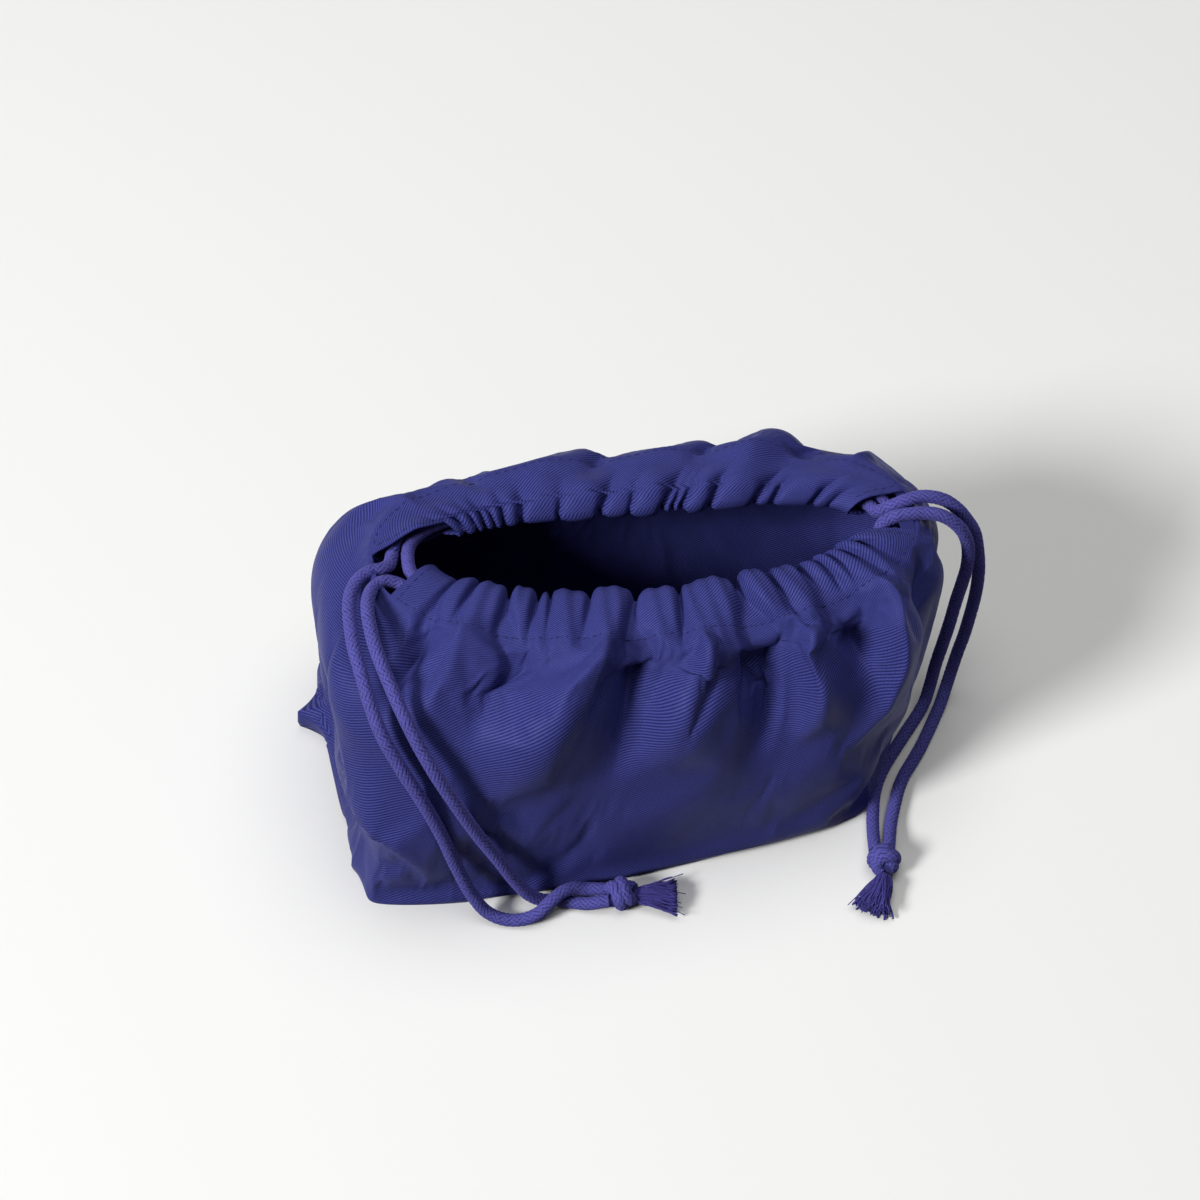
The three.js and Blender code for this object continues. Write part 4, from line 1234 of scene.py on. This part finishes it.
# %% The inside of the cloth
IN_FRONT, IN_SLOT, IN_BACK = 300, 16, 300
INNER_FLOOR = 0.9
LINING_INSET = -0.6  # the walls show here as 0.9 mm thick
PAST_RIM = 330.0  # past the rim the places on the flat cloth run on, and reach this at the floor
under_casing, down_walls = np.linspace(0.99, STITCHING, 22), np.linspace(STITCHING, 0.03, 70)[1:]
rows, flats = [], []
for up in [*under_casing, *down_walls]:
    share = column_shares(up, IN_FRONT, IN_SLOT, IN_BACK)
    under_it = len(rows) < len(under_casing)
    rows.append(inside(share, up) if under_it else inside(share, up, LINING_INSET) + settling(share, up))
    flats.append(on_flat_cloth(share, PAST_RIM - flat_up(up)))
rows[-1][:, 2] = INNER_FLOOR
grid_in = np.stack(rows)
grid_in[..., 2] = np.maximum(grid_in[..., 2], INNER_FLOOR)
keep = open_at_slots(len(grid_in), lambda row: row < len(under_casing) - 1, IN_FRONT, IN_SLOT, IN_BACK)
faces = grid_faces(*grid_in.shape[:2], keep=keep, wrap=True)
cloth_inside = add_mesh(
    "cloth_inside", grid_in.reshape(-1, 3), faces, twill, np.stack(flats).reshape(-1, 2), ROUND)
print("the inside of the cloth has %d faces" % len(faces))


# %% [markdown]
# ## The bottom
#
# The bottom is flat cloth that the walls stand on. Each of its two faces is one flat sheet whose edge is the
# last row of the walls, cut into triangles so that the hollow places in its outline are kept.

# %% The bottom, outside and inside
def flat_panel(name, edge, faces_up):
    sheet = bmesh.new()
    ring = [sheet.verts.new(Vector(point) / MM) for point in edge]
    sheet.faces.new(ring if faces_up else ring[::-1])
    bmesh.ops.triangulate(sheet, faces=sheet.faces[:])
    flat_cloth = sheet.loops.layers.uv.new("flat_cloth")
    for face in sheet.faces:
        for corner in face.loops:
            corner[flat_cloth].uv = corner.vert.co.xy
    mesh = bpy.data.meshes.new(name)
    sheet.to_mesh(mesh)
    sheet.free()
    print("%s: %d faces" % (name, len(mesh.polygons)))
    return add_piece(mesh, twill)


cloth_floor = flat_panel("cloth_floor", grid[0], False)
cloth_inner_floor = flat_panel("cloth_inner_floor", grid_in[-1], True)


# %% [markdown]
# ## Stitches
#
# A row of machine stitches closes the casing all the way round, and a short row holds each turned-in end. A
# bump in the material would vanish at this size, so each stitch is a short tube of thread that rises out of
# the cloth, lies on it and goes back in.

# %% One stitch
THREAD_RADIUS, STITCH_SIDES, STITCH_POINTS = 0.17, 6, 6
STITCH_LENGTH, STITCH_GAP = 2.3, 0.9
STITCH_RISE, STITCH_ROOT = 0.26, 0.12


def stitch(a, b, normal):
    t = np.linspace(0, 1, STITCH_POINTS)[:, None]
    path = a + (b - a) * t + normal * (STITCH_RISE * np.sin(np.pi * t) ** 0.5 - STITCH_ROOT)
    return tube(path, np.full(STITCH_POINTS, THREAD_RADIUS), STITCH_SIDES)


def stitched_line(points, normals):
    """The two ends and the outward direction of each stitch along a line of points."""
    run = np.r_[0, np.cumsum(np.linalg.norm(np.diff(points, axis=0), axis=1))]
    pick = lambda at, values: np.array([np.interp(at, run, values[:, i]) for i in range(3)])
    for start in np.arange(0.5, run[-1] - STITCH_LENGTH, STITCH_LENGTH + STITCH_GAP):
        middle = unit(pick(start + STITCH_LENGTH / 2, normals))
        yield pick(start, points), pick(start + STITCH_LENGTH, points), middle


print("a stitch is drawn with %d faces" % (STITCH_SIDES * (STITCH_POINTS - 1)))


# %% Rows of stitches
SEAM_UP = STITCHING + 0.004
BESIDE_SLOT = 0.0065  # about 4.4 mm from the edge of a slot
seams = []
for first, last in ((0.045, 0.484), (0.522, 0.994)):
    share = np.linspace(first, last, 1400)
    seams.append((outside(share, SEAM_UP), outward(share, SEAM_UP)))
for name in SLOTS:
    for side, shift in ((1, BESIDE_SLOT), (0, -BESIDE_SLOT)):
        ups = np.linspace(STITCHING + 0.01, 0.985, 24)
        at = [(np.array([slot_edges(name, up)[side] + shift]), up) for up in ups]
        seams.append(tuple(np.array([face(*place)[0] for place in at]) for face in (outside, outward)))
rings = [stitch(*ends) for seam in seams for ends in stitched_line(*seam)]
faces = [[i * STITCH_SIDES * STITCH_POINTS + k for k in face]
         for i in range(len(rings)) for face in grid_faces(STITCH_POINTS, STITCH_SIDES, wrap=True)]
stitches = add_mesh("casing_stitches", np.vstack([ring.reshape(-1, 3) for ring in rings]), faces, thread)
print("%d stitches in %d rows" % (len(rings), len(seams)))


# %% [markdown]
# ## Cords in the casing
#
# Inside the casing each cord runs nearly once round, beside the other one, and each shows where it crosses
# the other's slot. They are braids like the strands, with coarser rings, since so little of them is seen.

# %% Cords in the casing
LANE = 2.6  # from the middle of the casing to the middle of each cord
RIGHT_SLOT, SLOT_HALF, DIP = 0.502, 0.013, 2.2  # the left cord dips under the right strands at their slot
RUN_STEP, RUN_SIDES = 0.75, 24


def casing_run(first, last, lane, dip):
    """A line round the casing between two shares, to one side of its middle."""
    share = np.linspace(first, last, 240)
    above = outward(share, CREST)
    middle = smooth(share, CREST) - above * CASING_THICKNESS / 2
    forward = unit(smooth(share + ROUND_STEP, CREST) - smooth(share - ROUND_STEP, CREST))
    points = middle + unit(np.cross(forward, above)) * lane
    points[:, 2] -= dip * np.exp(-(((share - RIGHT_SLOT) / SLOT_HALF) ** 2))
    return points


left_run, _ = braided("left_braid_in_casing", casing_run(0.044, 0.991, LANE, DIP), RUN_STEP, RUN_SIDES)
right_run, _ = braided("right_braid_in_casing", casing_run(0.532, 1.472, -LANE, 0), RUN_STEP, RUN_SIDES)


# %% [markdown]
# ## Floor
#
# A studio sweep is one pale sheet with no edge in view. Here the near floor is matt paint that takes the
# pouch's shadow, and far out it fades to a plain glow of the backdrop's colour, so no horizon shows. To the
# eye the floor is pale, and to the light that it throws back at the cloth it is darker, as in a large room.

# %% Floor
FLOOR_BOUNCE = "#484848"
FADE_FROM, FADE_TO = 0.7, 2.2  # metres from the pouch
FLOOR_HALF = 6.0


def seen_rays(tree):
    """One for a ray that is seen directly, in a gloss or through a clear body, and zero for other light."""
    rays = add_node(tree, "LightPath")
    two = [rays.outputs["Is Camera Ray"], rays.outputs["Is Glossy Ray"]]
    three = [add_node(tree, "Math", two, operation="ADD"), rays.outputs["Is Transmission Ray"]]
    return add_node(tree, "Math", three, operation="ADD", use_clamp=True)


paint, tree, shader = new_material("pale_floor")
seen = seen_rays(tree)
colours = {0: seen, MIX_FROM: linear(FLOOR_BOUNCE), MIX_TO: linear(FLOOR)}
pale = add_node(tree, "Mix", colours, data_type="RGBA")
add_node(tree, shader, {"Base Color": pale, "Roughness": 0.8, "Specular IOR Level": 0.15})
place = add_node(tree, "TexCoord").outputs["Object"]
distance = add_node(tree, "VectorMath", [place], operation="LENGTH").outputs["Value"]
far = add_node(tree, "MapRange", {"Value": distance, "From Min": FADE_FROM, "From Max": FADE_TO},
               interpolation_type="SMOOTHSTEP")
faded = add_node(tree, "Math", [far, seen], operation="MULTIPLY")
glow = add_node(tree, "Emission", {"Color": linear(BACKDROP)})
blend = add_node(tree, "MixShader", [faded, shader, glow])
add_node(tree, tree.nodes["Material Output"], {"Surface": blend})
sheet = bmesh.new()
bmesh.ops.create_grid(sheet, x_segments=1, y_segments=1, size=FLOOR_HALF)
floor_mesh = bpy.data.meshes.new("floor")
sheet.to_mesh(floor_mesh)
sheet.free()
floor = add_piece(floor_mesh, paint)
print("the floor reaches %.0f m each way, and its paint has %d nodes" % (FLOOR_HALF, len(tree.nodes)))


# %% [markdown]
# ## Light
#
# A soft window on the left gives the folds their lit and dark sides. A wide, weak ceiling light and the pale
# room fill the dark sides in, so that the valleys stay blue.

# %% Lights
def area_light(name, place, size, power):
    """A round white lamp that faces the middle of the pouch."""
    data = bpy.data.lights.new(name, "AREA")
    data.shape = "DISK"
    data.size, data.energy = size, power
    aim(bpy.data.objects.new(name, data), place, (0, 0, 0.05))
    print("%s: %.0f W, %.1f m wide" % (name, power, size))


area_light("window", (-2.7, -1.3, 2.0), 1.0, 126)
area_light("ceiling", (0.1, 0.3, 2.6), 2.6, 39)

# %% The room
world = bpy.data.worlds.new("pale_room")
world.use_nodes = True
room = world.node_tree
fill = add_node(room, room.nodes["Background"], {"Color": linear("#f4f5f8"), "Strength": 0.04})
backdrop = add_node(room, "Background", {"Color": linear(BACKDROP)})
mixed = add_node(room, "MixShader", [seen_rays(room), fill, backdrop])
add_node(room, room.nodes["World Output"], {"Surface": mixed})
scene.world = world
scene.view_settings.view_transform = "Standard"
print("the room has %d nodes" % len(room.nodes))


# %% [markdown]
# ## What each piece stands for
#
# Every piece here rides with the pouch and replaces its plain solid, which is hidden. Each free strand
# replaces its own solid in the same way.

# %% Cloth, casing cords, knots and frayed ends
for piece in (cloth_outside, cloth_inside, cloth_floor, cloth_inner_floor, stitches):
    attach(piece, "root")
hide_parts("pouch_body")
stands_for = {
    "left_cord_in_casing": left_run, "right_cord_in_casing": right_run, "left_knot": left_knot,
    "right_knot": right_knot, "left_tassel": left_tassel, "right_tassel": right_tassel}
for node, piece in stands_for.items():
    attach(piece, "root")
    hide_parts(node)
print("%d solids are replaced so far" % (1 + len(stands_for)))

# %% Free cords
for name, piece in strands.items():
    path = strand_paths[name]
    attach(piece, "root")
    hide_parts(name)

# %% [markdown]
# ## Sizes
#
# Cloth may stand a little proud of its solid, but the pouch keeps its size. Each piece's lowest point and
# its number of faces are printed.

# %% Lowest points and faces
for piece in scene.collection.objects:
    if piece.type == "MESH" and piece != floor:
        low = min(vertex.co.z for vertex in piece.data.vertices)
        print("%-22s lowest %6.2f mm, %d faces" % (piece.name, low * MM, len(piece.data.polygons)))
